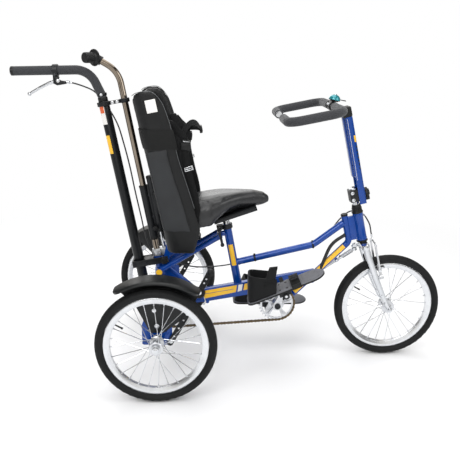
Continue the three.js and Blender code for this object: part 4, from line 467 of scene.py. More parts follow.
def studio():
    yaw, pitch, roll = radians(2.35), radians(16.46), radians(0.70)
    ahead = Vector((sin(yaw) * cos(pitch), cos(yaw) * cos(pitch), -sin(pitch)))
    right = Vector((cos(yaw), -sin(yaw), 0))
    up = right.cross(ahead)
    right, up = right * cos(roll) + up * sin(roll), up * cos(roll) - right * sin(roll)
    data = bpy.data.cameras.new("camera")
    data.sensor_width = 36
    data.lens = 47.54
    camera = linked("camera", data)
    basis = Matrix((right, up, -ahead)).transposed().to_4x4()
    spot = (0.162 + shift, -2.122, 1.124)
    camera.matrix_world = Matrix.Translation(spot) @ basis
    bpy.context.scene.camera = camera

    world = bpy.data.worlds.new("studio")
    bpy.context.scene.world = world
    world.use_nodes = True
    nodes, links = world.node_tree.nodes, world.node_tree.links
    # The camera sees plain white, shiny things mirror white cards with dark gaps between them, and the rest
    # is soft light. Inputs 6 and 7 of a Mix node are its two colours.
    path = nodes.new("ShaderNodeLightPath")
    direction = nodes.new("ShaderNodeTexCoord")
    parts = nodes.new("ShaderNodeSeparateXYZ")
    links.new(direction.outputs["Generated"], parts.inputs["Vector"])
    aside = math_node(nodes, "ABSOLUTE")
    links.new(parts.outputs["X"], aside.inputs[0])
    cards = nodes.new("ShaderNodeValToRGB")
    cards.color_ramp.elements[0].position = 0.0
    cards.color_ramp.elements[0].color = (0.95, 0.95, 0.95, 1)
    cards.color_ramp.elements[1].position = 1.0
    cards.color_ramp.elements[1].color = (0.8, 0.8, 0.8, 1)
    for spot, value in ((0.3, 0.9), (0.42, 0.1), (0.66, 0.06), (0.8, 0.55), (0.9, 0.2)):
        cards.color_ramp.elements.new(spot).color = (value, value * 0.96, value * 0.9, 1)
    links.new(aside.outputs["Value"], cards.inputs["Fac"])
    mirrored = nodes.new("ShaderNodeMix")
    mirrored.data_type = "RGBA"
    mirrored.inputs[6].default_value = (0.62, 0.62, 0.62, 1)
    links.new(path.outputs["Is Glossy Ray"], mirrored.inputs[0])
    links.new(cards.outputs["Color"], mirrored.inputs[7])
    plain = math_node(nodes, "MAXIMUM")
    links.new(path.outputs["Is Camera Ray"], plain.inputs[0])
    links.new(path.outputs["Is Transmission Ray"], plain.inputs[1])
    shown = nodes.new("ShaderNodeMix")
    shown.data_type = "RGBA"
    shown.inputs[7].default_value = (1, 1, 1, 1)
    links.new(plain.outputs["Value"], shown.inputs[0])
    links.new(mirrored.outputs[2], shown.inputs[6])
    links.new(shown.outputs[2], nodes["Background"].inputs["Color"])

    for name, place, size, power in (
        ("key_light", (-1.2, -2.6, 2.8), 2.2, 62), ("fill_light", (2.2, -1.6, 2.0), 1.8, 26),
        ("top_light", (0.0, 0.3, 3.2), 2.6, 34),
        ("rim_light", (-0.6, 2.6, 2.2), 2.0, 22),
    ):
        light = bpy.data.lights.new(name, "AREA")
        light.size = size
        light.energy = power
        lamp = linked(name, light)
        lamp.location = place
        lamp.rotation_euler = (Vector((0, 0, 0.45)) - Vector(place)).to_track_quat("-Z", "Y").to_euler()

    floor_look = bpy.data.materials.new("studio_floor")
    floor_look.use_nodes = True
    nodes, links = floor_look.node_tree.nodes, floor_look.node_tree.links
    shader = nodes["Principled BSDF"]
    shader.inputs["Base Color"].default_value = (0.93, 0.93, 0.935, 1)
    shader.inputs["Roughness"].default_value = 0.45
    shader.inputs["Specular IOR Level"].default_value = 0.25
    glow = nodes.new("ShaderNodeEmission")
    fade = nodes.new("ShaderNodeMixShader")
    path = nodes.new("ShaderNodeLightPath")
    place = nodes.new("ShaderNodeTexCoord")
    far = nodes.new("ShaderNodeVectorMath")
    far.operation = "LENGTH"
    ease = nodes.new("ShaderNodeMapRange")
    ease.inputs["From Min"].default_value = 0.9
    ease.inputs["From Max"].default_value = 2.4
    both = math_node(nodes, "MULTIPLY")
    either = math_node(nodes, "MAXIMUM")
    links.new(place.outputs["Object"], far.inputs[0])
    links.new(far.outputs["Value"], ease.inputs["Value"])
    links.new(path.outputs["Is Camera Ray"], either.inputs[0])
    links.new(path.outputs["Is Glossy Ray"], either.inputs[1])
    links.new(ease.outputs["Result"], both.inputs[0])
    links.new(either.outputs["Value"], both.inputs[1])
    links.new(both.outputs["Value"], fade.inputs["Fac"])
    links.new(shader.outputs["BSDF"], fade.inputs[1])
    links.new(glow.outputs["Emission"], fade.inputs[2])
    links.new(fade.outputs["Shader"], nodes["Material Output"].inputs["Surface"])
    bm = bmesh.new()
    bmesh.ops.create_circle(bm, cap_ends=True, radius=6, segments=64)
    mesh = bpy.data.meshes.new("studio_floor")
    bm.to_mesh(mesh)
    bm.free()
    mesh.materials.append(floor_look)
    floor = linked("studio_floor", mesh)
    floor.location = (0, 0, -0.0005)
    bpy.context.scene.view_settings.view_transform = "Standard"


studio()


# Wheels
def tyre_shape(steps=144):
    """The casing, with side notches in every third step."""
    half = [(172.2, 11.5), (174.5, 15.5), (178.5, 19.6), (183, 21.6), (187.5, 21.4), (191.2, 19.4),
            (193.2, 17.2), (192.6, 16.4),
            (193.6, 15.4), (195.8, 13.2), (197.6, 10.2), (196.4, 9.6), (198.4, 8.2), (199.3, 5.4),
            (199.6, 3.2), (198.4, 2.6),
            (199.0, 1.6)]
    profile = [(r, -h) for r, h in half] + [(r, h) for r, h in reversed(half)] + [(172.0, 0), (172.2, -11.5)]
    bm = turned(profile, steps)
    notches = []
    for face in bm.faces:
        middle = face.calc_center_median()
        step = int((atan2(middle.y, middle.x) + pi) / (2 * pi) * steps)
        if 14.2 < abs(middle.z) < 19.0 and middle.xy.length > 191 and step % 3 == 0:
            notches.append(face)
    bmesh.ops.inset_individual(bm, faces=notches, thickness=0.5, depth=-0.9)
    return bm


def wheel_piece(name, spokes=28):
    piece = Piece(name)
    rim = [(150.6, -7.4), (150, -6), (150, 6), (150.6, 7.4), (155, 9.6), (160, 11.4), (162.4, 12.2),
           (170.2, 12.3), (171.2, 11.6),
           (171.2, -11.6), (170.2, -12.3), (162.4, -12.2), (160, -11.4), (155, -9.6), (150.6, -7.4)]
    piece.add(turned(rim, 128), rim_alloy)
    half_hub = [(0, 30.8), (9, 30.8), (9.6, 30), (9.6, 28), (12.8, 26.5), (13, 25.4), (22.8, 24.6),
                (23.6, 23.8), (23.6, 21),
                (22.8, 20), (14, 18), (12, 12)]
    hub = [(r, -h) for r, h in half_hub] + [(11.6, 0)] + half_hub[::-1]
    piece.add(turned(hub, 40), alloy)
    for i in range(spokes):
        side = 1 if i % 2 else -1
        rim_angle = i / spokes * 2 * pi
        hub_angle = rim_angle + (1 if i % 4 < 2 else -1) * radians(34)
        foot = Vector((20.5 * cos(hub_angle), 20.5 * sin(hub_angle), side * 23.4))
        top = Vector((151 * cos(rim_angle), 151 * sin(rim_angle), side * 2.5))
        piece.add(bar(foot, top, 1.0, sides=6), chrome)
        along = (top - foot).normalized()
        piece.add(bar(top - along * 9, top + along * 2, 2.0, 2.4, sides=8), alloy)
    valve = Matrix.Rotation(radians(199), 4, "Z")
    piece.add(bar((128, 0, 0), (151, 0, 0), 2.6, sides=12), plastic, valve)
    piece.add(bar((122, 0, 0), (129, 0, 0), 3.4, sides=12, soft=0.6), dark_steel, valve)
    return piece


for name, x, y in (("near", 0, -half_track), ("far", 0, half_track), ("front", wheelbase, 0)):
    place = ground @ sideways((x, y, wheel_radius)) @ Matrix.Rotation(radians(11), 4, "Z")
    Piece(f"{name}_tyre_tread").add(tyre_shape(), tyre_rubber).place(place, [f"{name}_tyre"], smooth=28)
    wheel_piece(f"{name}_spoked_wheel").place(place, [f"{name}_wheel"], smooth=40)


# Main frame
def weld(centre, along, radius, bead=2.4):
    """The ring of weld where a tube meets another."""
    bm = bmesh.new()
    verts = [bm.verts.new((radius + bead * 0.4 * cos(t), 0,
                           bead * sin(t))) for t in [i / 8 * 2 * pi for i in range(8)]]
    edges = [bm.edges.new((verts[i - 1], verts[i])) for i in range(8)]
    bmesh.ops.spin(bm, geom=verts + edges, cent=(0, 0, 0), axis=(0, 0, 1), angle=2 * pi, steps=36,
                   use_merge=True)
    bm.transform(facing(centre, along))
    return bm


def beam_patch(x0, x1, low, high):
    """The four corners of an area on the beam's side, at heights above and below its middle."""
    return [(x0, beam_z(x0) + high), (x1, beam_z(x1) + high), (x1, beam_z(x1) + low), (x0, beam_z(x0) + low)]


def frame_piece():
    p = Piece("welded_frame")
    half = 25 / cos(radians(beam_slope))
    p.add(plate(beam_patch(50, 566, -half, half), -12.5, 12.5, soft=3.2), enamel)
    foot, top = seat_tube(0), seat_tube(seat_tube_length)
    along = (top - foot).normalized()
    p.add(pipe(15, 12.6, -6, seat_tube_length), enamel, facing(foot, along))
    p.add(weld(seat_tube(3), along, 15), enamel)
    head = [(13.6, -head_half), (18.6, -head_half), (19.2, -head_half + 1), (19.2, -head_half + 8),
            (18.2, -head_half + 10),
            (18.2, head_half - 10), (19.2, head_half - 8), (19.2, head_half - 1), (18.6, head_half),
            (13.6, head_half), (13.6, -head_half)]
    local = to_mm @ steer
    p.add(turned(head, 48), enamel, local)
    upright_line = route([steer_point(-49, 0, 52), steer_point(-49, 0, -50), (470, 0, 228)], 24)
    p.add(swept(upright_line, 12, 32), enamel)
    p.add(turned([(0, 0), (12.6, 0), (12.8, 5), (11.4, 7.4), (0, 7.8)], 32), plastic,
          local @ Matrix.Translation((-49, 0, 51)))
    top_line = route([(268, 0, 372), (557, 0, 441), (664, 0, 524)], 60)
    p.add(swept(top_line, 12.5, 32), enamel)
    p.add(weld(Vector((283, 0, 375.6)), (289, 0, 69), 12.5), enamel)
    p.add(weld(Vector((654, 0, 516.2)), (107, 0, 83), 12.5), enamel)
    p.add(plate([(-46, -46), (-4, -46), (-4, 44), (-46, 44)], -7, 7, soft=1.2), enamel, local)
    front_x, front_z = 211, 353 + 216 * tan(radians(31))
    p.add(bar((front_x, -44, front_z), (front_x, 44, front_z), 10, soft=1), enamel)
    stub_z = front_z + 4
    p.add(bar((front_x, 0, front_z), (seat_x - (stub_z - seat_z) * tan(radians(seat_lean)), 0, stub_z), 10),
          enamel)
    for y in (-34, 34):
        p.add(bar((-5, y, 353), (front_x, y, front_z), 10), enamel)
        p.add(weld(Vector((front_x - 9, y, front_z - 5.4)), (216, 0, 130), 10, 2), enamel)
    for y in (-1, 1):
        outline = [(-50, 184), (-44, 181), (44, 181), (50, 184), (50, 252), (24, 336), (-20, 336), (-50, 252)]
        holes = [disc(0, 200, 14), disc(-28, 232, 4, 12), disc(28, 232, 4, 12)]
        p.add(plate(outline, y * 279 - 3, y * 279 + 3, holes, soft=1), enamel)
        p.add(turned([(9.2, -7), (17.5, -7), (19, -5.5), (19, 6), (17.5, 7), (9.2, 7), (9.2, -7)], 40), cast,
              sideways((0, y * 275.5, 200)))
        for x, z in ((-28, 232), (28, 232)):
            p.add(bolt((x, y * 276, z), (0, -y, 0), 5.5), cast)
        p.add(plate([(-3, 350), (19, 350), (40, 449), (18, 449)], y * 21 - 2, y * 21 + 2, soft=0.8), enamel)
        p.add(bar((2, y * 278, 318), (2, y * 30, 318), 15, sides=36), enamel)
        p.add(weld(Vector((2, y * 275, 318)), (0, 1, 0), 15), enamel)
        p.add(bar((-8, y * 45, 349), (-8, y * 46.6, 349), 11.6, 10.6), yellow)
    for y in (-72, 78):
        outline = arc(0, 200, 19, pi, 2 * pi, 16) + [(21, 318), (-17, 318)]
        p.add(plate(outline, y - 4, y + 4, [disc(0, 200, 11)], soft=1), enamel)
        p.add(turned([(9.2, -5.5), (15, -5.5), (15, 5.5), (9.2, 5.5), (9.2, -5.5)], 36), cast,
              sideways((0, y, 200)))
    p.add(bar((2, -30, 318), (2, 30, 318), 15, sides=36), enamel)
    p.add(bar((-8, -45, 349), (-8, 45, 349), 11.5), enamel)
    p.add(bar((-2, 0, 378), (165, 0, 227), 9), enamel)
    p.add(plate([(6, 244), (58, 244), (122, 262), (62, 322), (6, 374)], -4, 4, soft=0.8), enamel)
    low, high, arm_z = 240, 401, 258
    lean = radians(column_lean)
    p.add(pipe(17, 11.6, 0, (high - low) / cos(lean), lip=1), enamel,
          Matrix.Translation((column_x(low), 0, low)) @ tilt(-column_lean))
    socket_x = column_x(arm_z) + push_f / cos(lean)
    p.add(bar((column_x(arm_z), 0, arm_z), (socket_x + 18.5, 0, arm_z), 12), enamel)
    socket_u = (arm_z - column_z0) / cos(lean) - push_f * tan(lean)
    p.add(pipe(24, 18.4, socket_u - 14, socket_u + 14, lip=1.5), enamel,
          to_mm @ rear @ Matrix.Translation((push_f, 0, 0)))
    p.add(turned([(9.4, -34), (19, -34), (20, -33), (20, -26), (18.6, -24), (18.6, 24), (20, 26), (20, 33),
                  (19, 34), (9.4, 34), (9.4, -34)], 48), enamel, sideways((bracket_x, 0, bracket_z)))
    p.add(block(406, 442, -12, 12, 238, beam_z(424), 1.5), enamel)
    # Plain stripes where the enamel is banded
    p.add(band_on_bar(Vector((495, 0, 255)), Vector((672, 0, 436)), 12.3, -1.0, 0.35), yellow)
    p.add(band_on_bar(seat_tube(82), seat_tube(164), 15.3, -0.6, 0.55), yellow)
    for x0, x1, low, high, look in ((158, 268, -9, 12, yellow), (158, 290, 13.5, 15.5, pale),
                                    (296, 330, -12, 14, yellow)):
        p.add(plate(beam_patch(x0, x1, low, high), -13.1, -12.4), look)
    return p


def band_on_bar(start, end, radius, low, high, steps=10):
    """A thin curved patch that lies on the near side of a round bar."""
    along = (end - start).normalized()
    across = Vector((0, -1, 0))
    up = along.cross(across).normalized()
    section = [(radius * cos(low + (high - low) * i / steps),
                radius * sin(low + (high - low) * i / steps)) for i in range(steps + 1)]
    section += [(x * 0.97, y * 0.97) for x, y in reversed(section)]
    bm = bmesh.new()
    ring = [bm.verts.new(start + across * x + up * y) for x, y in section]
    face = bm.faces.new(ring)
    grown = bmesh.ops.extrude_face_region(bm, geom=[face])["geom"]
    bmesh.ops.translate(bm, vec=end - start, verts=[g for g in grown if isinstance(g, bmesh.types.BMVert)])
    return bm


frame_piece().place(ground, ["main_frame"], smooth=34)


# Chain drive
pitch = 12.7
ring_teeth, axle_teeth = 32, 34
chain_y = -45


def pitch_radius(teeth):
    return pitch / 2 / sin(pi / teeth)


def toothed(teeth, thickness, holes):
    """A chain wheel: hooked valleys between rounded teeth."""
    radius = pitch_radius(teeth)
    outline = []
    for i in range(teeth):
        for share, rise in ((-0.2, -2.6), (-0.1, -3.7), (0, -3.9), (0.1, -3.7), (0.2, -2.6), (0.33, 0.6),
                            (0.43, 3.3), (0.5, 3.9),
                            (0.57, 3.3), (0.67, 0.6)):
            angle = (i + share) / teeth * 2 * pi
            outline.append(((radius + rise) * cos(angle), (radius + rise) * sin(angle)))
    return plate(outline, chain_y - thickness / 2, chain_y + thickness / 2, holes, soft=0.35)


def ring_windows(lean=0.0, count=5, low=27, high=54.5, spread=25):
    """The openings between the arms of a toothed ring."""
    windows = []
    for i in range(count):
        middle = (i + 0.5) / count * 2 * pi + lean
        a, b = middle - radians(spread), middle + radians(spread)
        windows.append(arc(0, 0, high, a, b, 10) + arc(0, 0, low, b, a, 6))
    return windows


def rear_axle_piece():
    p = Piece("driven_axle")
    p.add(bar((0, -354, 0), (0, 354, 0), 8.5, sides=36, soft=1), alloy)
    p.add(toothed(axle_teeth, 2.6, ring_windows()), alloy)
    p.add(turned([(8.6, -17), (22, -17), (26, -14), (26, -4), (28, -3), (28, 3), (26, 4), (26, 14), (22, 17),
                  (8.6, 17), (8.6, -17)], 40), cast, sideways((0, chain_y, 0)))
    for i in range(5):
        turn = Matrix.Rotation(i / 5 * 2 * pi, 4, "Y")
        p.add(bolt((24, chain_y - 3, 0), (0, -1, 0), 3.2, 3), dark_steel, turn)
    for y in (-1, 1):
        p.add(bar((0, y * 356.9, 0), (0, y * 358.4, 0), 15.5, sides=32), alloy)
        p.add(bar((0, y * 358.4, 0), (0, y * 365, 0), 12.6, sides=6, soft=1), chrome)
        p.add(turned([(9, 0), (8.4, 2.6), (5, 4.4), (0, 5)], 24), chrome, sideways((0, y * 361.4, 0), y))
    return p


rear_axle_piece().place(ground @ Matrix.Translation((0, 0, wheel_radius)), ["rear_axle"], smooth=35)

crank_lean = radians(14)
arm_x, arm_z = crank_length * sin(crank_lean), crank_length * cos(crank_lean)


def crank_arm(p, y0, y1, way):
    """A waisted arm; the waist rows are shares of its length and half widths."""
    waist = [(0.0, 17), (0.18, 14.5), (0.42, 10), (0.7, 9.4), (0.86, 11), (1.0, 11)]
    dx, dz = way * sin(crank_lean), way * cos(crank_lean)
    x, z = crank_length * dx, crank_length * dz
    left = [(s * x - w * dz, s * z + w * dx) for s, w in waist]
    right = [(s * x + w * dz, s * z - w * dx) for s, w in waist]
    end = atan2(dz, dx)
    outline = (left[:-1] + arc(x, z, 11, end + pi / 2, end - pi / 2, 12) + list(reversed(right[:-1]))
               + arc(0, 0, 17, end - pi / 2, end - 3 * pi / 2, 16)[1:-1])
    p.add(plate(outline, y0, y1, soft=2.2), alloy)


def pedal_pin(p, side, way):
    x, z = way * arm_x, way * arm_z
    p.add(bar((x, side * 62, z), (x, side * 75.5, z), 8, sides=28, soft=1), alloy)
    p.add(bar((x, side * 75, z), (x, side * 163, z), 6, 5.2, sides=24, soft=0.8), chrome)


def near_crank_piece():
    p = Piece("chainring_and_crank")
    p.add(toothed(ring_teeth, 3.0, ring_windows(crank_lean)), alloy)
    p.add(turned([(9, 0), (17.5, 0), (18, 3), (20, 14), (23, 17), (23, 19.5), (9, 19.5), (9, 0)], 40), alloy,
          sideways((0, -63, 0)))
    crank_arm(p, -73, -61, 1)
    p.add(turned([(0, 0), (10.4, 0), (11.4, -1), (11.4, -2.6), (8.6, -3), (7.4, -1.2), (0, -1)], 28),
          dark_steel, sideways((0, -73, 0)))
    for i in range(5):
        angle = i / 5 * 2 * pi + crank_lean
        spot = Matrix.Rotation(-angle, 4, "Y")
        p.add(bolt((53.5, chain_y - 1.5, 0), (0, -1, 0), 4.2, 3), chrome, spot)
        p.add(bar((20, chain_y - 3.4, 0), (50, chain_y - 2.4, 0), 4.4, 2.8, sides=16), alloy, spot)
    pedal_pin(p, -1, 1)
    return p


def far_crank_piece():
    p = Piece("far_crank_and_spindle")
    p.add(bar((0, -68, 0), (0, 72, 0), 8.5, sides=32, soft=0.8), alloy)
    p.add(turned([(8.6, 0), (16, 0), (17, 2), (17, 26), (8.6, 26), (8.6, 0)], 40), alloy,
          sideways((0, 36, 0)))
    crank_arm(p, 61, 73, -1)
    p.add(turned([(0, 0), (10.4, 0), (11.4, 1), (11.4, 2), (8.6, 2.6), (7.4, 1.2), (0, 1)], 28), dark_steel,
          sideways((0, 73, 0)))
    pedal_pin(p, 1, -1)
    return p


at_bracket = ground @ Matrix.Translation((bracket_x, 0, bracket_z))
near_crank_piece().place(at_bracket, ["crankset"], smooth=35)
far_crank_piece().place(at_bracket, ["far_crank"], smooth=35)


def chain_line():
    """The pitch line round both toothed rings."""
    front = bracket_x, bracket_z, pitch_radius(ring_teeth)
    behind = 0, wheel_radius, pitch_radius(axle_teeth)
    heading = atan2(front[1] - behind[1], front[0] - behind[0])
    spread = acos((behind[2] - front[2]) / hypot(front[0] - behind[0], front[1] - behind[1]))
    loop = arc(*front, heading - spread, heading + spread, 120)
    loop += arc(*behind, heading + spread, heading + 2 * pi - spread, 120)
    return loop + [loop[0]]


def chain_piece(thickness=1.0, waist=2.6):
    """Every link: outer and inner plates in turn, and a roller on each pin."""
    loop = chain_line()
    lengths = [0]
    for a, b in zip(loop, loop[1:]):
        lengths.append(lengths[-1] + hypot(b[0] - a[0], b[1] - a[1]))
    count = 2 * round(lengths[-1] / pitch / 2)
    pins = []
    k = 0
    for i in range(count):
        goal = (i + 0.5) * lengths[-1] / count
        while lengths[k + 1] < goal:
            k += 1
        share = (goal - lengths[k]) / (lengths[k + 1] - lengths[k])
        pins.append((loop[k][0] + (loop[k + 1][0] - loop[k][0]) * share,
                     loop[k][1] + (loop[k + 1][1] - loop[k][1]) * share))
    p = Piece("link_chain")
    for i, (x, z) in enumerate(pins):
        nx, nz = pins[(i + 1) % count]
        offset = 3.6 if i % 2 else 2.5
        middle_x, middle_z = (x + nx) / 2, (z + nz) / 2
        away = atan2(nz - z, nx - x)
        outline = (arc(x, z, 4.1, away + pi / 2, away + 3 * pi / 2, 5)
                   + [(middle_x + waist * sin(away), middle_z - waist * cos(away))]
                   + arc(nx, nz, 4.1, away - pi / 2, away + pi / 2, 5)
                   + [(middle_x - waist * sin(away), middle_z + waist * cos(away))])
        for side in (-1, 1):
            low = chain_y + side * offset - thickness / 2
            p.add(plate(outline, low, low + thickness), chain_steel)
        p.add(bar((x, chain_y - 4.6, z), (x, chain_y + 4.6, z), 1.8, sides=8), chain_steel)
        p.add(bar((x, chain_y - 2, z), (x, chain_y + 2, z), 3.6, sides=10), chain_steel)
    return p


chain_piece().place(ground, ["chain"], smooth=30)


def guard_piece():
    p = Piece("chain_guard_plate")
    outline = arc(0, 0, 20, pi / 2, 3 * pi / 2, 16) + [(8, -41)]
    outline += arc(237, -17, 25, -pi / 2, pi / 2, 16) + [(8, 8)]
    local = Matrix.Translation((guard_x, 0, guard_z)) @ tilt(-beam_slope)
    p.add(plate(outline, -57.5, -55.5, soft=0.6), enamel, local)
    for patch, look in (([(18, 2), (140, 2), (132, -24), (14, -28)], yellow),
                        ([(146, 2), (162, 2), (154, -22), (138, -24)], pale),
                        ([(168, 2), (214, 2), (206, -20), (160, -22)], yellow)):
        p.add(plate(patch, -57.9, -57.4, soft=0.1), look, local)
    p.add(plate([(20, -10), (126, -10), (126, -11.6), (20, -11.6)], -58.1, -57.6), enamel, local)
    rear_x, front_x = guard_x + 30, guard_x + 196
    for x in (rear_x, front_x):
        p.add(bar((x, -57, beam_z(x) - 8), (x, -13, beam_z(x) - 8), 7, sides=24, soft=0.6), enamel)
    p.add(bolt((front_x, -57.4, beam_z(front_x) - 8), (0, -1, 0), 4, 2.6), alloy)
    p.add(block(101, 123, -57.4, -55.6, 256, 264, 0.4), enamel)
    p.add(bar((104, -61, 260), (104, -55.8, 260), 8, sides=28, soft=0.7), amber)
    p.add(bar((104, -58.4, 260), (104, -55.4, 260), 8.8, sides=28, soft=0.4), plastic)
    hook = [(153, -56.5, 259), (158, -61.5, 250), (160, -62.6, 240), (155, -62, 231), (149, -61, 234)]
    p.add(swept(curved(hook, 5), 1.8, 12), chrome)
    return p


guard_piece().place(ground, ["chain_guard"])


def parking_piece():
    p = Piece("drilled_parking_lever")
    turn = radians(27)
    ex, ez = 96 * sin(turn), 96 * cos(turn)
    holes = [disc(ex * s, ez * s, 3.6, 14) for s in (0.42, 0.6)]
    p.add(plate(capsule(0, 0, 11, ex, ez, 11), -62.8, -57.9, holes, soft=0.9), plastic)
    p.add(turned([(0, 0), (20, 0), (22, 1.6), (22, 5.4), (20, 7), (14, 7.2), (12.5, 5.6), (0, 5.6)], 40),
          plastic, sideways((0, -57.9, 0), -1))
    p.add(bolt((0, -63.6, 0), (0, -1, 0), 6.4, 4.6), chrome)
    knob = [(0, 0), (10, 0), (12.6, 2), (13, 5), (13, 22), (12, 26), (8, 29), (0, 30)]
    p.add(turned(knob, 32), plastic, sideways((ex * 0.95, -58, ez * 0.95), -1))
    return p


parking_piece().place(ground @ Matrix.Translation((guard_x, 0, guard_z)), ["parking_lever"])


# Foot plates
def sole_outline(margin=0.0):
    """The foot plate seen from above, round at the toe and narrower at the heel."""
    half = 48 - margin
    return (arc(108, 0, half, -pi / 2, pi / 2, 20) + arc(-112, 24, 24 - margin, pi / 2, pi, 8)
            + arc(-112, -24, 24 - margin, pi, 3 * pi / 2, 8))


plate_middle = Matrix.Translation((0, 52, 0))


def foot_piece(side):
    p = Piece(f"{side}_ribbed_foot_plate")
    p.add(plate(sole_outline(), 19, 24.6, soft=1.2, across="Z"), plastic, plate_middle)
    p.add(plate(sole_outline(1.6), 24.4, 26.2, soft=0.5, across="Z"), tread, plate_middle)
    for i in range(8):
        p.add(block(18 + i * 7, 21.2 + i * 7, 10, 94, 26, 27, 0.35), tread)
    for i in range(3):
        p.add(block(-20 + i * 9, -16 + i * 9, 12, 92, 26, 27, 0.35), tread)
    toe = [(74, -38)] + arc(108, 0, 38, -pi / 2, pi / 2, 12) + [(74, 38)]
    p.add(plate(toe, 26, 27.3, soft=0.4, across="Z"), tread, plate_middle)
    for i in range(10):
        x = 76 + i * 7
        half = 37 if x < 106 else sqrt(max(38 ** 2 - (x - 106) ** 2, 0)) - 2
        if half > 6:
            p.add(block(x, x + 3.2, 52 - half, 52 + half, 27, 28, 0.35), tread)
    p.add(turned([(7, 4), (10, 4), (12, 6), (12, 88), (10, 90), (7, 90), (7, 4)], 32), steel_black,
          sideways((0, 0, 0)))
    p.add(block(-22, 22, 18, 86, 1, 20, 2), steel_black)
    for x, y in ((-12, 26), (14, 26), (-12, 78), (14, 78)):
        p.add(bolt((x, y, 26.2), (0, 0, 1), 4.2, 1.6), dark_steel)
    return p


def cup_line(front):
    """The foot of the heel cup's wall, seen from above and open at the front."""
    half, rear_x = 44, -132
    corner = half * 0.62
    return ([(front, half)] + arc(rear_x + corner, half - corner, corner, pi / 2, pi, 8)
            + arc(rear_x + corner, corner - half, corner, pi, 3 * pi / 2, 8) + [(front, -half)])


def heel_piece(side):
    """A soft walled cup: rings of wall rise to a sloping rim, with a front flap."""
    p = Piece(f"{side}_padded_heel_cup")
    bm = bmesh.new()
    rows = []
    front, low, high = -28, 47, 92
    for share in [k / 8 for k in range(9)]:
        row = []
        for x, y in cup_line(front):
            height = (low + (high - low) * min(max((front - x) / 100, 0), 1)) * share
            bulge = 2.2 * sin(share * pi) + 0.9 * sin(share * 9 + x * 0.12 + y * 0.09)
            out = Vector((x + 80, y, 0)).normalized()
            row.append(bm.verts.new((x + 0.4 * height + out.x * bulge * 0.5, y + out.y * bulge * 0.4,
                                     height)))
        rows.append(row)
    p.add(softened(thickened(skinned(bm, rows), 6.5), 1.8, 2, 50), neoprene)
    p.add(plate([(-126, -38), (front, -42), (front, 42), (-126, 38)], 0.4, 3.4, soft=1, across="Z"), neoprene)
    # The flap at the open side, folded outwards, with its buckle strap
    forward = Matrix.Translation((18, 0, 0))
    strap = [(-78, 38), (-30, 34), (-26, 50), (-74, 56)]
    p.add(plate([(-73, 50), (-34, 43), (-6, 91), (-34, 99)], 37, 43.5, soft=2.4), neoprene, forward)
    p.add(plate(strap, 43.4, 45.2, soft=0.7), webbing, forward)
    p.add(plate(strap, -45.2, -43.4, soft=0.7), webbing, forward)
    p.add(block(-20, -6, 44, 47, 34, 52, 1), plastic, forward)
    return p


def ribbon(line, width, thickness, across):
    """A flat strap along a line; across is the direction of its width."""
    bm = bmesh.new()
    across = Vector(across).normalized()
    rows = []
    for i, here in enumerate(line):
        along = along_at(line, i)
        side = (across - along * across.dot(along)).normalized() * width / 2
        rows.append([bm.verts.new(spot) for spot in (here - side, here, here + side)])
    return softened(thickened(skinned(bm, rows), thickness), thickness * 0.28, 2, 50)


def toe_strap_piece(side):
    p = Piece(f"{side}_toe_strap_webbing")
    half = 50.2
    loop = [Vector((47, half * cos(t), 29 + 16.5 * sin(t))) for t in [i / 14 * pi for i in range(15)]]
    loop += [Vector((47, -half, 22)), Vector((47, -half + 2, 17.5)), Vector((47, half - 2, 17.5)),
             Vector((47, half, 22)), loop[0]]
    p.add(ribbon(loop, 34, 2.2, (1, 0, 0)), webbing, plate_middle)
    tail = [Vector((47, 30 - 3 * i, 46.5 + 0.5 * sin(i))) for i in range(12)]
    p.add(ribbon(tail, 25, 1.6, (1, 0, 0)), webbing, plate_middle)
    p.add(block(32, 62, 47.5, 50.5, 22, 36, 1), plastic, plate_middle)
    return p


flip = Matrix.Diagonal((1, -1, 1, 1))
for side, y, way, nodding in (("near", -1, 1, 22.7), ("far", 1, -1, 0)):
    mount = ground @ Matrix.Translation((bracket_x + way * arm_x, y * 73,
                                         bracket_z + way * arm_z)) @ tilt(-nodding)
    hand = flip if y < 0 else Matrix()
    for make, node, raise_by in ((foot_piece, "footplate", 0), (heel_piece, "heel_cup", 27.4),
                                 (toe_strap_piece, "toe_strap", 0)):
        piece = make(side)
        moved = hand @ Matrix.Translation((0, 52 if node == "heel_cup" else 0, raise_by))
        piece.bm.transform(moved)
        if y < 0:
            bmesh.ops.reverse_faces(piece.bm, faces=piece.bm.faces)
        piece.place(mount, [f"{side}_{node}"], smooth=40)


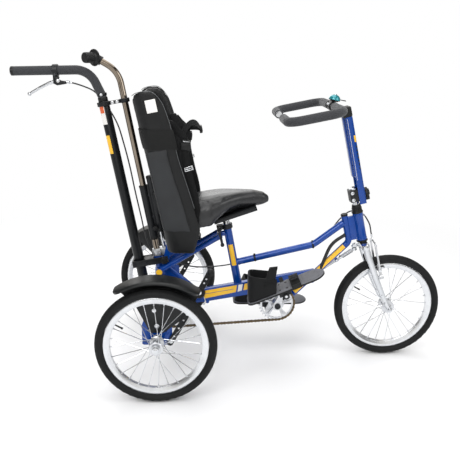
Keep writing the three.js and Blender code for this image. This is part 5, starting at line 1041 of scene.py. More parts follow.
# Rear mudguards
def fender_piece(side, y):
    p = Piece(f"{side}_mudguard")
    across = [(282.6, 226), (282.4, 229.6), (284, 231.2), (292, 231.6), (319, 232), (345, 231.4),
              (353, 229.6), (356.2, 226.4), (356.6, 223),
              (354.6, 223), (353.8, 225.4), (351, 227.6), (344, 229), (319, 229.6), (292, 229.2),
              (285.4, 229), (284.6, 226)]
    bm = bmesh.new()
    low, high = radians(52.5), radians(125)
    verts = [bm.verts.new((r * cos(low), h, r * sin(low))) for h, r in across]
    edges = [bm.edges.new((verts[i - 1], verts[i])) for i in range(len(verts))]
    bmesh.ops.spin(bm, geom=verts + edges, cent=(0, 0, 0), axis=(0, -1, 0), angle=high - low, steps=48)
    ends = [e for e in bm.edges if len(e.link_faces) == 1]
    bmesh.ops.holes_fill(bm, edges=ends, sides=0)
    for v in bm.verts:
        angle = atan2(v.co.z, v.co.x)
        nearest = min(angle - low, high - angle)
        if nearest < 0.14 and v.co.y > 318:
            pull = 1 - nearest / 0.14
            v.co.y = 318 + (v.co.y - 318) * (1 - 0.62 * pull ** 2.4)
    p.add(bm, fender_plastic, Matrix.Translation((0, 0, 200)))
    inner = arc(0, 200, 229, radians(50), radians(125), 24)
    panel = inner + [(-66, 318), (-22, 226), (22, 226), (100, 286)]
    p.add(plate(panel, 282.4, 285.2, [disc(0, 250, 3.4, 12)], soft=0.7), fender_plastic)
    strap_holes = [disc(43 + 61 * s, 190 + 110 * s, 3.4, 12) for s in (0.22, 0.48, 0.74)]
    p.add(plate(capsule(43, 190, 10, 104, 300, 10), 285.3, 287.9, strap_holes, soft=0.5), steel_black)
    for x, z in ((102, 296), (46, 196)):
        p.add(bolt((x, 287.9, z), (0, 1, 0), 5.2, 3.6), chrome)
    p.add(bolt((0, 285.2, 250), (0, 1, 0), 6, 3.6), chrome)
    p.add(bolt((-8, 285.2, 306), (0, 1, 0), 5, 3.4), chrome)
    if y < 0:
        p.bm.transform(flip)
        bmesh.ops.reverse_faces(p.bm, faces=p.bm.faces)
    return p


for side, y in (("near", -1), ("far", 1)):
    fender_piece(side, y).place(ground, [f"{side}_fender"], smooth=38)


# Push bar
def push_tube_piece():
    p = Piece("push_bar_tube")
    p.add(bar((push_f, 0, -262), (push_f, 0, 517), 18, sides=48, soft=1), steel_black)
    p.add(bar((push_f, 0, -264.5), (push_f, 0, -261), 17.2, sides=40, soft=1), plastic)
    p.bm.transform(to_mm @ rear)
    low, middle, high, top = (rear_point(push_f, 0, u) for u in (440, 478, 500, 508))
    p.add(band_on_bar(low, high, 18.25, -1.2, 0.0, 14), pale)
    p.add(band_on_bar(middle, top, 18.35, -1.2, -0.1, 14), orange)
    p.add(band_on_bar(rear_point(push_f, 0, 338), rear_point(push_f, 0, 402), 18.25, -1.25, -0.15, 14),
          yellow)
    return p


push_tube_piece().place(ground, ["push_tube"])


def handle_line():
    points = [rear_point(push_f, 0, 517.3), rear_point(push_f, 0, 535), (-231, 0, 1057), (-489, 0, 1050)]
    return route(points, 70, 0.09)


def push_handle_piece():
    p = Piece("foam_push_handle")
    line = handle_line()
    p.add(swept(line, 15.2, 40), foam)
    start, aim = line[0], (line[1] - line[0]).normalized()
    p.add(bar(start, start + aim * 13, 16.6, sides=40, soft=1.4), plastic)
    p.add(bar(start + aim * 18, start + aim * 27, 16.9, sides=40, soft=1), steel_black)
    p.add(bolt(start + aim * 22.5 + Vector((0, -16.4, 0)), (0, -1, 0), 3.6, 4), chrome)
    tip = line[-1]
    p.add(turned([(0, 3.4), (6, 3.1), (12, 1.8), (14.8, -0.6), (15.5, -3), (15.5, -9), (15.1, -9.4)], 36),
          plastic, Matrix.Translation(tip) @ tilt(-90 - 1.6))
    return p


push_handle_piece().place(ground, ["push_handle"], smooth=45)


def push_bracket_piece():
    p = Piece("push_bar_bracket")
    low, high = -83, -59
    for y in (-1, 1):
        p.add(plate([(-95.5, low), (36, low), (36, high), (-95.5, high)], y * 27 - 2, y * 27 + 2, soft=1.2),
              steel_black)
        for f in (-89, -44, 22):
            p.add(bolt((f, y * 29, -71), (0, y, 0), 5, 3.6), dark_steel)
    p.add(block(-95.5, -89.8, -25, 25, low, high, 0.8), steel_black)
    p.add(block(-53.2, -17.4, -25, 25, low + 1, high - 1, 1.2), steel_black)
    p.add(bar((-89, -26, -71), (-89, 26, -71), 4.6, sides=16), chrome)
    knob = []
    for i in range(6):
        for turn, radius in ((-0.24, 12.4), (0, 12.4), (0.24, 12.4), (pi / 6, 9.6)):
            angle = i * pi / 3 + turn
            knob.append((22 + radius * cos(angle), -71 + radius * sin(angle)))
    p.add(plate(knob, -45, -33, soft=1.6), plastic)
    p.add(bar((22, -34, -71), (22, -29, -71), 6.4, sides=20), dark_steel)
    return p


push_bracket_piece().place(rear, ["push_bracket"], smooth=38)


def column_link_piece():
    p = Piece("column_to_push_bar_link")
    p.add(pipe(17, 11.4, -7, 7, lip=1), steel_black, Matrix.Translation((0, 0, 508)))
    p.add(pipe(23, 18.3, -7, 7, lip=1), steel_black, Matrix.Translation((push_f, 0, 508)))
    p.add(block(-50, -15.5, -9, 9, 502, 514, 1.4), steel_black)
    for f in (-41, -25):
        p.add(bolt((f, -9, 508), (0, -1, 0), 4.2, 3.2), chrome)
    return p


column_link_piece().place(rear, ["column_link"], smooth=38)


# Rear steering
foot_u = (228 - column_z0) / cos(radians(column_lean))
handle_turn = radians(50 - column_lean)
handle_back = Vector((-cos(handle_turn), 0, sin(handle_turn)))
handle_corner = Vector((0, 0, 606))
handle_end = handle_corner + handle_back * 86


def steering_column_piece():
    p = Piece("chrome_steering_column")
    line = route([(0, 0, foot_u), handle_corner, handle_end], 110, 0.07)
    p.add(swept(line, 11, 40), smoked_chrome)
    p.add(turned([(0, -2.6), (9.6, -2.6), (10.6, -1.6), (10.6, 0.6), (0, 0.6)], 32), dark_steel,
          Matrix.Translation((0, 0, foot_u)))
    return p


steering_column_piece().place(rear, ["steering_handle"])


def steering_grip_piece():
    p = Piece("steering_knob_grip")
    heading = tilt(column_lean) @ Vector((-cos(radians(48)), -sin(radians(48)), 0))
    tip = handle_end + handle_back * 0.3
    profile = [(0, 0.2), (25.4, 0.2), (27.6, 1.2), (28.2, 3.4), (27.4, 5.8), (24, 7.2), (19.6, 8.6),
               (17.6, 10.8)]
    for i in range(7):
        h = 13 + i * 3.9
        profile += [(17.6, h), (17.2, h + 0.5), (16.6, h + 0.9), (16.6, h + 1.5), (17.2, h + 1.9),
                    (17.6, h + 2.4)]
    profile += [(17.4, 41), (16.4, 43.6), (13.4, 45.6), (9, 46.2), (0, 46.4)]
    p.add(turned(profile, 48), plastic, facing(tip, heading))
    p.add(bar(handle_end - handle_back * 22, tip + handle_back * 7, 15, sides=40, soft=1.6), plastic)
    p.add(bar(handle_end - handle_back * 23.4, handle_end - handle_back * 19, 15.6, sides=40, soft=0.8),
          steel_black)
    return p


steering_grip_piece().place(rear, ["steering_grip"])


def rear_arm_piece():
    p = Piece("rear_drop_arm")
    low = foot_u + 3
    p.add(plate(capsule(0, 0, 17, -26, 45, 10), low, low + 8, [disc(-26, 45, 4.1, 20)], soft=1.2,
                across="Z"), steel_black)
    p.add(bar((0, 0, low + 7.8), (0, 0, low + 12.6), 16, sides=32, soft=1.2), steel_black)
    p.add(bar((0, 0, low - 5), (0, 0, low + 0.4), 15, sides=6, soft=1), chrome)
    p.add(bolt((-26, 45, low + 8.2), (0, 0, 1), 5.4, 4.6), chrome)
    return p


rear_arm_piece().place(rear, ["rear_steering_arm"], smooth=38)

rear_eye = rear_point(-26, 45, foot_u + 3 - 0.5 - 7)
front_eye = steer_point(-26, 45, -90 - 2 - 7)


def drag_link_piece():
    p = Piece("drag_link_rod")
    corners = [rear_eye, Vector((66, 45, 221)), Vector((548, 45, 290)), front_eye]
    p.add(swept(route(corners, 24, 0.08), 6, 24), alloy)
    rear_up = (rear.to_3x3() @ Vector((0, 0, 1))).normalized()
    front_up = (steer.to_3x3() @ Vector((0, 0, 1))).normalized()
    for eye, up in ((rear_eye, rear_up), (front_eye, front_up)):
        p.add(turned([(0, -7.6), (5.4, -7.4), (6.4, -6.4), (9, -6), (9.4, -4.4), (9.4, 4.4), (9, 6),
                      (6.2, 6.6), (0, 6.8)], 32),
              chrome, facing(eye, up))
    p.add(bar(rear_eye + rear_up * 5, rear_eye + rear_up * 15, 3.9, sides=20), chrome)
    last, along = corners[2], (front_eye - corners[2]).normalized()
    length = (front_eye - last).length
    sleeve = [(0, 0), (8.4, 0), (9.2, 0.8)]
    for i in range(8):
        sleeve += [(9.2, 2.4 + i * 5), (8.3, 3 + i * 5), (8.3, 4.4 + i * 5), (9.2, 5 + i * 5)]
    sleeve += [(9.2, 43), (8.4, 44), (0, 44)]
    p.add(turned(sleeve, 28), alloy, facing(last + along * length * 0.74, along))
    clamp = last + along * length * 0.6
    p.add(bar(clamp, clamp + along * 11, 8.4, sides=24, soft=0.8), enamel)
    p.add(bolt(clamp + along * 5.5 + Vector((0, -8, 0)), (0, -1, 0), 3.4, 3.6), chrome)
    p.add(bar(last + along * length * 0.7, last + along * length * 0.728, 8.6, sides=6), chrome)
    return p


drag_link_piece().place(ground, ["drag_link"], smooth=40)


# Backrest post and carriage
def column_clamp_piece():
    p = Piece("cast_column_clamp")
    holes = [disc(0, 0, 11.4, 40), disc(post_f, 0, 9.1, 32)]
    p.add(plate(capsule(0, 0, 17.5, post_f, 0, 15, 20), -57, -30, holes, soft=2, across="Z"), cast)
    for f, y in ((12, -1), (12, 1), (36, -1), (36, 1)):
        p.add(bolt((f, y * 16, -43.5), (0, y, 0), 4.4, 4), chrome)
    p.add(block(14, 17, -18.4, 18.4, -56, -31, 0.6), dark_steel)
    return p


column_clamp_piece().place(rear, ["column_clamp"], smooth=38)
inner = Piece("chrome_backrest_post")
inner.add(bar((post_f, 0, -56), (post_f, 0, 130), 9, sides=36, soft=0.8), chrome)
inner.place(rear, ["backrest_inner_post"])


def carriage_piece():
    p = Piece("backrest_carriage_sleeves")
    p.add(pipe(15, 11.4, 6, 208, lip=0.8), steel_black)
    for u in (6, 199):
        p.add(pipe(15.8, 11.4, u, u + 9, lip=1), plastic)
    p.add(pipe(14, 9.1, 32, 236, lip=0.8), steel_black, Matrix.Translation((post_f, 0, 0)))
    p.add(turned([(9.2, -1.4), (12.6, -1.4), (14.6, 0.4), (14.6, 8), (9.2, 8), (9.2, -1.4)], 36), plastic,
          Matrix.Translation((post_f, 0, 32)))
    p.add(turned([(0, 3.6), (10, 3.2), (13.4, 1.2), (14.4, -1), (14.4, -7), (0, -7)], 36), plastic,
          Matrix.Translation((post_f, 0, 236)))
    p.add(block(10, 22, -8, 8, 34, 206, 1.2), steel_black)
    local = rear.inverted() @ back
    p.add(block(-23, -0.4, -22, 22, 60, 140, 2), steel_black, local)
    p.add(bar((15, -10, 50), (15, -18, 50), 3.4, sides=16), chrome)
    p.add(bar((15, -18, 50), (15, -30, 50), 10.5, 9.4, sides=10, soft=1.4), plastic)
    for u in (90, 170):
        p.add(bolt((15, -8, u), (0, -1, 0), 4.6, 3.6), dark_steel)
    for z in (72, 100, 128):
        p.add(bolt((-23, 0, z), (-1, 0, 0), 5, 3.4), dark_steel, local)
    return p


carriage_piece().place(rear, ["backrest_carriage"], smooth=38)


# Backrest
def clean_copy(node, inward):
    """The solid's mesh with merged points, drawn in a little to leave room for the padding."""
    mesh = frame["nodes"][node].data.copy()
    mesh.materials.clear()
    bm = bmesh.new()
    bm.from_mesh(mesh)
    bmesh.ops.remove_doubles(bm, verts=bm.verts, dist=0.00002)
    bmesh.ops.recalc_face_normals(bm, faces=bm.faces)
    bm.normal_update()
    for v in bm.verts:
        v.co -= v.normal * inward
    bm.to_mesh(mesh)
    bm.free()
    return mesh


def evaluated(obj):
    graph = bpy.context.evaluated_depsgraph_get()
    return bpy.data.meshes.new_from_object(obj.evaluated_get(graph))


def evened(mesh, rounds):
    """Rounds off the voxel steps. Every second round pushes back out, so the shape doesn't shrink."""
    count = len(mesh.vertices)
    places = numpy.empty(count * 3)
    mesh.vertices.foreach_get("co", places)
    places = places.reshape(-1, 3)
    ends = numpy.empty(len(mesh.edges) * 2, dtype=int)
    mesh.edges.foreach_get("vertices", ends)
    ends = ends.reshape(-1, 2)
    degree = numpy.bincount(ends.ravel(), minlength=count)[:, None]
    for factor in (0.5, -0.52) * rounds:
        total = numpy.zeros_like(places)
        numpy.add.at(total, ends[:, 0], places[ends[:, 1]])
        numpy.add.at(total, ends[:, 1], places[ends[:, 0]])
        places += factor * (total / degree - places)
    mesh.vertices.foreach_set("co", places.ravel())
    mesh.update()


def puffed(node, name, material, voxel, inward, reach, relax, pressure=4.0, ripple=0.25):
    """A soft copy of a CAD node: remeshed, blown up a little as cloth, and held near its first shape."""
    obj = linked(name, clean_copy(node, inward / 1000))
    remesh = obj.modifiers.new("even_grid", "REMESH")
    remesh.mode = "VOXEL"
    remesh.voxel_size = voxel / 1000
    mesh = evaluated(obj)
    obj.modifiers.clear()
    evened(mesh, relax)
    obj.data = mesh
    start = [v.co.copy() for v in mesh.vertices]
    cloth = obj.modifiers.new("padding", "CLOTH")
    cloth.settings.use_pressure = True
    cloth.settings.uniform_pressure_force = pressure
    cloth.settings.effector_weights.gravity = 0
    cloth.settings.quality = 4
    first_frame, last_frame = 1, 20
    cloth.point_cache.frame_start = first_frame
    cloth.point_cache.frame_end = last_frame
    scene = bpy.context.scene
    for step in range(first_frame, last_frame + 1):
        scene.frame_set(step)
    grown = evaluated(obj)
    for first, v in zip(start, grown.vertices):
        move = v.co - first
        if move.length > reach / 1000:
            v.co = first + move.normalized() * reach / 1000
    obj.modifiers.clear()
    obj.data = grown
    scene.frame_set(first_frame)
    normals = [v.normal.copy() for v in obj.data.vertices]
    for v, out in zip(obj.data.vertices, normals):
        bend = noise.noise(v.co * 22) + 0.5 * noise.noise(v.co * 60)
        v.co += out * bend * ripple / 1000
    obj.data.materials.clear()
    obj.data.materials.append(material)
    for polygon in obj.data.polygons:
        polygon.use_smooth = True
        polygon.material_index = 0
    fine = obj.modifiers.new("fine", "SUBSURF")
    fine.levels = fine.render_levels = 1
    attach(obj, body_of_node[node])
    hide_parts(node)
    return obj


puffed("backrest_shell", "padded_backrest_cover", vinyl, voxel=5.5, inward=0.7, reach=1.6, relax=8)
puffed("backrest_pad", "padded_backrest_liner", vinyl, voxel=6, inward=1.2, reach=2.0, relax=8)

wing = [(0, -55), (91, -70), (108, -40), (130, 10), (124, 88), (116, 172), (108, 257), (107.4, 310),
        (107, 364), (104, 402), (98.8, 439),
        (92.5, 458), (84.5, 474), (75, 486), (63.7, 493), (46, 496), (28.6, 496), (17, 494), (7.8, 489)]


def wing_front(u):
    """How far forward the wing reaches at this height."""
    rows = [(point[1], point[0]) for point in wing[3:]]
    if u <= rows[0][0]:
        return rows[0][1]
    for (u0, f0), (u1, f1) in zip(rows, rows[1:]):
        if u <= u1:
            return f0 + (f1 - f0) * (u - u0) / max(u1 - u0, 0.001)
    return rows[-1][1]


def side_skin(side, bottom, high, rear, front, lift, puff, columns=14, rows=40):
    """A thin panel on the wing's outer face; bottom, rear and front give its edges."""
    bm = bmesh.new()
    grid = []
    for k in range(rows + 1):
        t = k / rows
        line = []
        for i in range(columns + 1):
            s = i / columns
            u = bottom(s) + (high - bottom(s)) * t
            f0, f1 = rear(u), front(u)
            f = f0 + (f1 - f0) * s
            edge = min(s, 1 - s, t * 3, (1 - t) * 3)
            out = lift + puff * (1 - (1 - min(edge * 4, 1)) ** 2)
            line.append(bm.verts.new((f, side * (150 + out), u)))
        grid.append(line)
    skinned(bm, grid)
    if (bm.faces[:][0].normal.y > 0) != (side > 0):
        bmesh.ops.reverse_faces(bm, faces=bm.faces)
    return thickened(bm, 2.2)


def backrest_trim():
    """Side panels, front edge piping whose grey is a painted highlight, stitching, bare badge: everything
    sewn to the cover.
    """
    p = Piece("backrest_panels_and_highlight_piping")
    for side in (-1, 1):
        p.add(side_skin(side, lambda s: 32 - 27 * s, 300, lambda u: 7, lambda u: wing_front(u) - 33, 0.4,
                        1.6), vinyl_light)
        p.add(side_skin(side, lambda s: 8, 446, lambda u: wing_front(u) - 32.4,
                        lambda u: wing_front(u) - 3.4, 0.2, 1.2,
                        columns=6), vinyl)
        edge = [(f - 2.6 * min(max((u - 60) / 340, 0.3), 1), side * 150.2, u - 2.6 * max((u - 400) / 96, 0))
                for f, u in wing[4:]]
        # A thin cord along the wing's front edge, coloured grey as a painted highlight of that edge.
        p.add(swept(curved(edge, 4), 1.05, 10), highlight_piping)
        seam = [Vector((wing_front(u) - 33.2, side * 151.2, u)) for u in range(12, 296, 12)]
        p.add(swept(seam, 0.75, 6), webbing)
        for u in range(34, 296, 7):
            for f, y in ((wing_front(u) - 37.4, side * 151.9), (10.2, side * 151.7)):
                p.add(block(f, f + 0.6, y - 0.35, y + 0.35, u, u + 4.2), dark_thread)
    p.add(block(41, 75, -152.6, -150.2, 423, 464, 0.7), pale)
    p.add(block(43, 73, -152.9, -152.3, 425, 462, 0.1), white_face)
    return p


backrest_trim().place(back, body="backrest", slot="vinyl", smooth=45)


def u_path(outset, front, steps=8):
    """The line round the shell seen from above, from the near wing's front to the far one's."""
    half, corner = 150 + outset, 32 + outset
    near = [(f, -half) for f in (front, front * 0.8, front * 0.6, front * 0.4)]
    near += arc(-outset + corner, -half + corner, corner, 3 * pi / 2, pi, steps)
    return near + [(-outset, y) for y in range(-100, 101, 20)] + [(x, -y) for x, y in reversed(near)]


def strap_band_piece():
    """The elastic band, level round the leaning backrest."""
    p = Piece("elastic_backrest_band")
    lean = radians(back_lean)
    low, high, rows = 813, 877, 8
    bm = bmesh.new()
    grid = []
    path = u_path(0.5, 110.5)
    for i, (f, y) in enumerate(path):
        a, b = path[max(i - 1, 0)], path[min(i + 1, len(path) - 1)]
        along = Vector((b[0] - a[0], b[1] - a[1])).normalized()
        out = Vector((along.y, -along.x))
        if out.dot(Vector((f - 65, y))) < 0:
            out = -out
        column = []
        for k in range(rows + 1):
            t = k / rows
            wave = 0.8 * sin(i * 1.3) if k in (0, rows) else 0.0
            z = low + (high - low) * t + wave
            bulge = 2.2 + 0.9 * (1 - (2 * t - 1) ** 4) - 0.5 * (0.15 > min(t, 1 - t) > 0.05)
            ff, yy = f + out.x * bulge, y + out.y * bulge
            column.append(bm.verts.new((ff, yy, (z - back_z - ff * sin(lean)) / cos(lean))))
        grid.append(column)
    p.add(thickened(skinned(bm, grid), 2.2), elastic)
    return p


strap_band_piece().place(back, ["backrest_strap"], smooth=50)


def harness_piece():
    p = Piece("chest_harness")
    outline = [(112, 385), (121, 360), (138, 338), (149.5, 320), (153, 295), (146, 276), (140, 262),
               (138.6, 230), (138, 200), (139.6, 165),
               (141, 130), (140.4, 104), (139, 80), (134, 60), (127, 45), (114, 34), (92, 34), (92, 385)]
    for side in (-1, 1):
        face = side * 121.4
        p.add(plate(outline, *sorted((side * 114.9, face)), soft=2.6), neoprene)
        front = ((104, 372), (116, 350), (130, 328), (134, 306), (128, 280), (124, 250), (123.4, 210),
                 (124, 170),
                 (126, 130), (125, 90), (118, 60), (108, 44))
        tape = [(f + 4, face + side * 0.7, u) for f, u in front]
        p.add(ribbon(curved(tape, 4), 25, 1.6, (1, 0, 0.2)), webbing)
        for i in range(30):
            u = 60 + i * 9
            f = 137 if u < 262 else 137 + (u - 262) * 0.16
            p.add(block(f - 0.5, f, face - 0.4 + side * 0.3, face + 0.4 + side * 0.3, u, u + 5), dark_thread)
        # Side release buckle
        local = Matrix.Translation((139, face + side * 3, 298)) @ tilt(18)
        p.add(block(-16, 16, -2.6, 2.6, -18, 4, 1.6), plastic, local)
        p.add(block(-13, 13, -3.2, 3.2, 3, 16, 1.2), plastic, local)
        p.add(block(-15, -9, -1.8, 1.8, -8, 10, 1), steel_black, local)
        p.add(block(9, 15, -1.8, 1.8, -8, 10, 1), steel_black, local)
        p.add(block(-11, 11, -3.7, 3.7, 10.4, 12, 0.3), alloy, local)
        # Metal slide lower down
        slide = Matrix.Translation((131, face + side * 2.4, 218)) @ tilt(-6)
        frame_line = [(-15, -7), (15, -7), (15, 7), (-15, 7)]
        p.add(plate(frame_line, -1.2, 1.2, [[(-12, -4.6), (12, -4.6), (12, -1), (-12, -1)],
                                            [(-12, 1), (12, 1), (12, 4.6), (-12, 4.6)]], soft=0.5), chrome,
                                            slide)
    bow = []
    for i in range(41):
        share = i / 40
        angle = -pi / 2 + pi * share
        rise = 38 * sin(pi * min(share * 2, 1)) ** 1.3
        bow.append(Vector((118 + 76 * cos(angle), 118.2 * sin(angle), 322 + 4 * share + rise)))
    p.add(ribbon(bow, 19, 3.6, (0, 0, 1)), webbing)
    p.add(block(189, 197, -20, 22, 312, 337, 2.2), plastic)
    p.add(block(191, 199, -8, 8, 315, 334, 1.6), steel_black)
    for y in (-16, 18):
        p.add(block(188.4, 198, y - 1.8, y + 1.8, 313, 336, 0.8), plastic)
    return p


harness_piece().place(back, ["harness"], smooth=42)


# Saddle and seat post
puffed("saddle", "padded_saddle", saddle_vinyl, voxel=4, inward=1.2, reach=2.4, ripple=0.2,
       relax=14)


def seat_post_piece():
    p = Piece("seat_post_and_plate")
    rear_x, front_x = seat_top.x - 42, seat_top.x + 107
    rear_z, front_z = seat_top.z + 5.4, seat_top.z + 57.4
    slope = atan2(front_z - rear_z, front_x - rear_x)
    length = hypot(front_z - rear_z, front_x - rear_x)
    local = Matrix.Translation((rear_x, 0, rear_z)) @ Matrix.Rotation(-slope, 4, "Y")
    p.add(block(-1, length + 2, -40, 40, 12.4, 16.4, 1), steel_black, local)
    for y in (-1, 1):
        p.add(block(-1, length + 2, y * 36.4, y * 40, 1, 15.6, 1), steel_black, local)
        p.add(swept(route([(4, y * 22, 8), (60, y * 22, 5), (length - 8, y * 14, 10)], 20), 3.5, 16),
              dark_steel, local)
    p.add(block(length - 3, length + 2, -40, 40, 1, 16, 1), steel_black, local)
    p.add(block(28, 62, -27, 27, 2, 12.6, 1.6), steel_black, local)
    for y in (-20, 20):
        p.add(bolt((45, y, 2.2), (0, 0, -1), 5, 4), chrome, local)
    p.add(bar(seat_tube(84), seat_tube(262), 12, sides=36, soft=0.6), chrome)
    for i in range(5):
        p.add(bar(seat_tube(236 + i * 4), seat_tube(236.5 + i * 4), 12.12, sides=36), dark_steel)
    return p


seat_post_piece().place(ground, ["seat_post"], smooth=38)


def seat_clamp_piece():
    p = Piece("seat_clamp_collar")
    p.add(pipe(20, 15.1, -18, 0, lip=1.2), steel_black)
    for y in (-1, 1):
        p.add(block(-38, -17, y * 1.6, y * 12, -18, 0, 1.4), steel_black)
    p.add(bar((-29, -13.5, -9), (-29, 13.5, -9), 3, sides=16), chrome)
    p.add(turned([(0, 0), (7.6, 0), (8, 1), (8, 5), (6.6, 6), (0, 6.2)], 10), dark_steel,
          sideways((-29, 12, -9)))
    return p


seat_clamp_piece().place(post, ["seat_clamp"], smooth=38)


def seat_lever_piece():
    p = Piece("seat_clamp_quick_lever")
    p.add(bar((-29, -12.4, -9), (-29, -49, -9), 7, sides=28, soft=0.8), steel_black)
    p.add(bar((-29, -12.2, -9), (-29, -15, -9), 8.8, sides=28, soft=0.6), dark_steel)
    line = [(-29, -51.5, -6), (-29, -52, -20), (-28.4, -52.6, -36), (-28, -51, -52), (-28, -50, -64)]
    p.add(swept(curved(line, 4), 1, section=[(-3.4, -7), (3.4, -7), (3.4, 7), (-3.4, 7)]), steel_black)
    p.add(bar((-28, -46, -62), (-28, -54, -62), 7, sides=24, soft=1), steel_black)
    return p


seat_lever_piece().place(post, ["seat_clamp_lever"], smooth=38)


# Push bar brake lever and cables
def centripetal(points, per=8):
    """A smooth line through every point, as the cables lie."""
    corners = [Vector(p) for p in points]
    corners = [2 * corners[0] - corners[1]] + corners + [2 * corners[-1] - corners[-2]]
    line = []
    for a, b, c, d in zip(corners, corners[1:], corners[2:], corners[3:]):
        before, here, after = sqrt((b - a).length), sqrt((c - b).length), sqrt((d - c).length)
        leave = ((b - a) / before - (c - a) / (before + here) + (c - b) / here) * here
        arrive = ((c - b) / here - (d - b) / (here + after) + (d - c) / after) * here
        for k in range(per):
            t = k / per
            line.append(b + leave * t + (3 * (c - b) - 2 * leave - arrive) * t ** 2
                        + (2 * (b - c) + leave + arrive) * t ** 3)
    line.append(corners[-2])
    return line


def grip_z(x):
    return 1057 + (x + 231) * (1050 - 1057) / (-489 + 231)


def lever_body_piece():
    p = Piece("brake_lever_bracket")
    z = grip_z(-342)
    ring = turned([(15.4, -9), (19, -9), (20.2, -7.8), (20.2, 7.8), (19, 9), (15.4, 9), (15.4, -9)], 44)
    p.add(ring, steel_black, Matrix.Translation((-342, 0, z)) @ tilt(90 - 1.55))
    outline = [(-351, z - 15), (-334, z - 15), (-329, z - 33), (-308, z - 35), (-307, z - 44),
               (-338, z - 49.5), (-351, z - 43)]
    p.add(plate(outline, -8.8, 8.8, soft=2.2), steel_black)
    p.add(bar((-334, -10.6, 1020), (-334, 10.6, 1020), 5.4, sides=24, soft=0.6), chrome)
    p.add(bolt((-334, -10, 1020), (0, -1, 0), 4.4, 3), chrome)
    p.add(bolt((-342, -15, z - 14), (0, -1, 0.2), 3.6, 3.4), dark_steel)
    adjuster = [(0, 0), (4.6, 0), (5.4, 1), (5.4, 4), (4.4, 5), (4.4, 6.4), (6, 7), (6, 12), (5, 13.4),
                (3.6, 14), (3.6, 20), (0, 20)]
    p.add(turned(adjuster, 24), alloy, Matrix.Translation((-309, 0, 1016.6)) @ tilt(98))
    return p


lever_body_piece().place(ground, ["brake_lever_body"], smooth=38)


def lever_blade_piece():
    p = Piece("brake_lever_blade")
    line = route([(-334, 0, 1020), (-365, 0, 1012), (-400, 0, 995), (-433, 0, 976)], 30, 0.06)
    sizes = [6.4 - 1.6 * min(i / len(line) * 1.4, 1) for i in range(len(line))]
    p.add(swept(line, 1, 20, flat=1.25, ends=sizes), alloy)
    p.add(bar((-334, -5.5, 1020), (-334, 5.5, 1020), 8, sides=28, soft=0.8), alloy)
    ball = bmesh.new()
    bmesh.ops.create_uvsphere(ball, u_segments=20, v_segments=14, radius=6.6)
    p.add(ball, alloy, Matrix.Translation((-434, 0, 975.4)))
    return p


lever_blade_piece().place(ground, ["brake_lever"], smooth=40)

cable_points = [
    (-306, 0, 1016), (-292, 1, 1014), (-257, 10, 1003), (-222, 24, 985), (-196, 30, 955), (-170, 29, 918),
    (-143, 10, 872),
    (-124, 0, 810), (-106, 0, 730), (-90, 0, 640), (-72, 4, 545), (-62, 30, 470), (-48, 46, 420),
    (-28, 56, 380), (10, 58, 356),
    (66, 34, 352), (130, 20, 347), (200, 18.5, 350), (262, 18.5, 360), (320, 16, 382.5), (420, 16, 407),
    (520, 16, 430),
    (580, 16, 455), (625, 17, 495), (656, 20, 535), (690, 27, 560), (714, 30, 561), (731.2, 17.1, 557.6),
    (741.2, 2, 551.9),
]
front_points = [(742.4, 0.4, 549.8), (751, 0, 537), (761, -2, 518), (767, -9, 488), (772, -18, 467),
                (778, -31, 455.5)]


def cable_piece():
    p = Piece("brake_cable_housing")
    line = centripetal(cable_points)
    p.add(swept(line, 2.55, 14), cable_black)
    first = (line[1] - line[0]).normalized()
    p.add(bar(line[0] - first * 2, line[0] + first * 9, 3.3, sides=18, soft=0.4), alloy)
    last = (line[-1] - line[-2]).normalized()
    p.add(bar(line[-1] - last * 8, line[-1] + last * 0.4, 3.1, sides=18, soft=0.3), alloy)
    return p


cable_piece().place(ground, ["brake_cable"], smooth=50)


def front_cable_piece():
    p = Piece("front_cable_housing")
    line = centripetal(front_points)
    p.add(swept(line[:-12], 2.55, 14), cable_black)
    p.add(swept(line[-13:], 2.3, 14), chrome)
    start = (line[-13] - line[-14]).normalized()
    p.add(bar(line[-13] - start * 7, line[-13] + start * 1, 3.1, sides=18, soft=0.3), alloy)
    p.add(bar(line[-1], line[-1] + Vector((0, 62, 3)), 0.8, sides=8), alloy)
    p.add(bar(line[-1] + Vector((0, 6, 0)), line[-1] + Vector((0, 34, 1.6)), 3.2, 2.6, sides=14), plastic)
    return p


front_cable_piece().place(ground, ["front_brake_cable"], smooth=50)


def frame_extras():
    """Cable ties and the thick hose, which ride with the frame."""
    p = Piece("frame_fittings")
    for x, z, slope in ((340, 389.2, 13.4), (553, 440, 13.4)):
        for spot in (0, 3.4):
            local = Matrix.Translation((x + spot, 0, z)) @ tilt(90 - slope)
            p.add(pipe(13.6, 12.2, -1.6, 1.6, lip=0.3), plastic, local)
        p.add(block(x - 3, x + 4, -5, 3, z + 12.6, z + 17, 0.8), plastic)
        p.add(bar((x, 8, z), (x, 17, z + 2), 3.2, sides=12), plastic)
    hose = centripetal([(672, -2, 478), (655, -8, 470), (634, -12, 456), (618, -12, 436), (604, -10, 400),
                        (592, -8, 362), (585, -6, 338)])
    p.add(swept(hose, 6.2, 20), hose_rubber)
    for end, along in ((hose[0], along_at(hose[:2], 0)), (hose[-1], along_at(hose[-2:], 1))):
        p.add(bar(end - along * 4, end + along * 4, 7.2, sides=20, soft=0.8), plastic)
    return p


frame_extras().place(ground, body="frame", slot="cable_sheath", smooth=45)


# Fork and front brake
fork_drop = (head_z - wheel_radius + fork_rake * sin(radians(head_lean))) / cos(radians(head_lean))
rim_u = -fork_drop + 171.5
pivot_u, pad_u, top_u = rim_u - 36.1, rim_u - 10.1, rim_u + 91.9


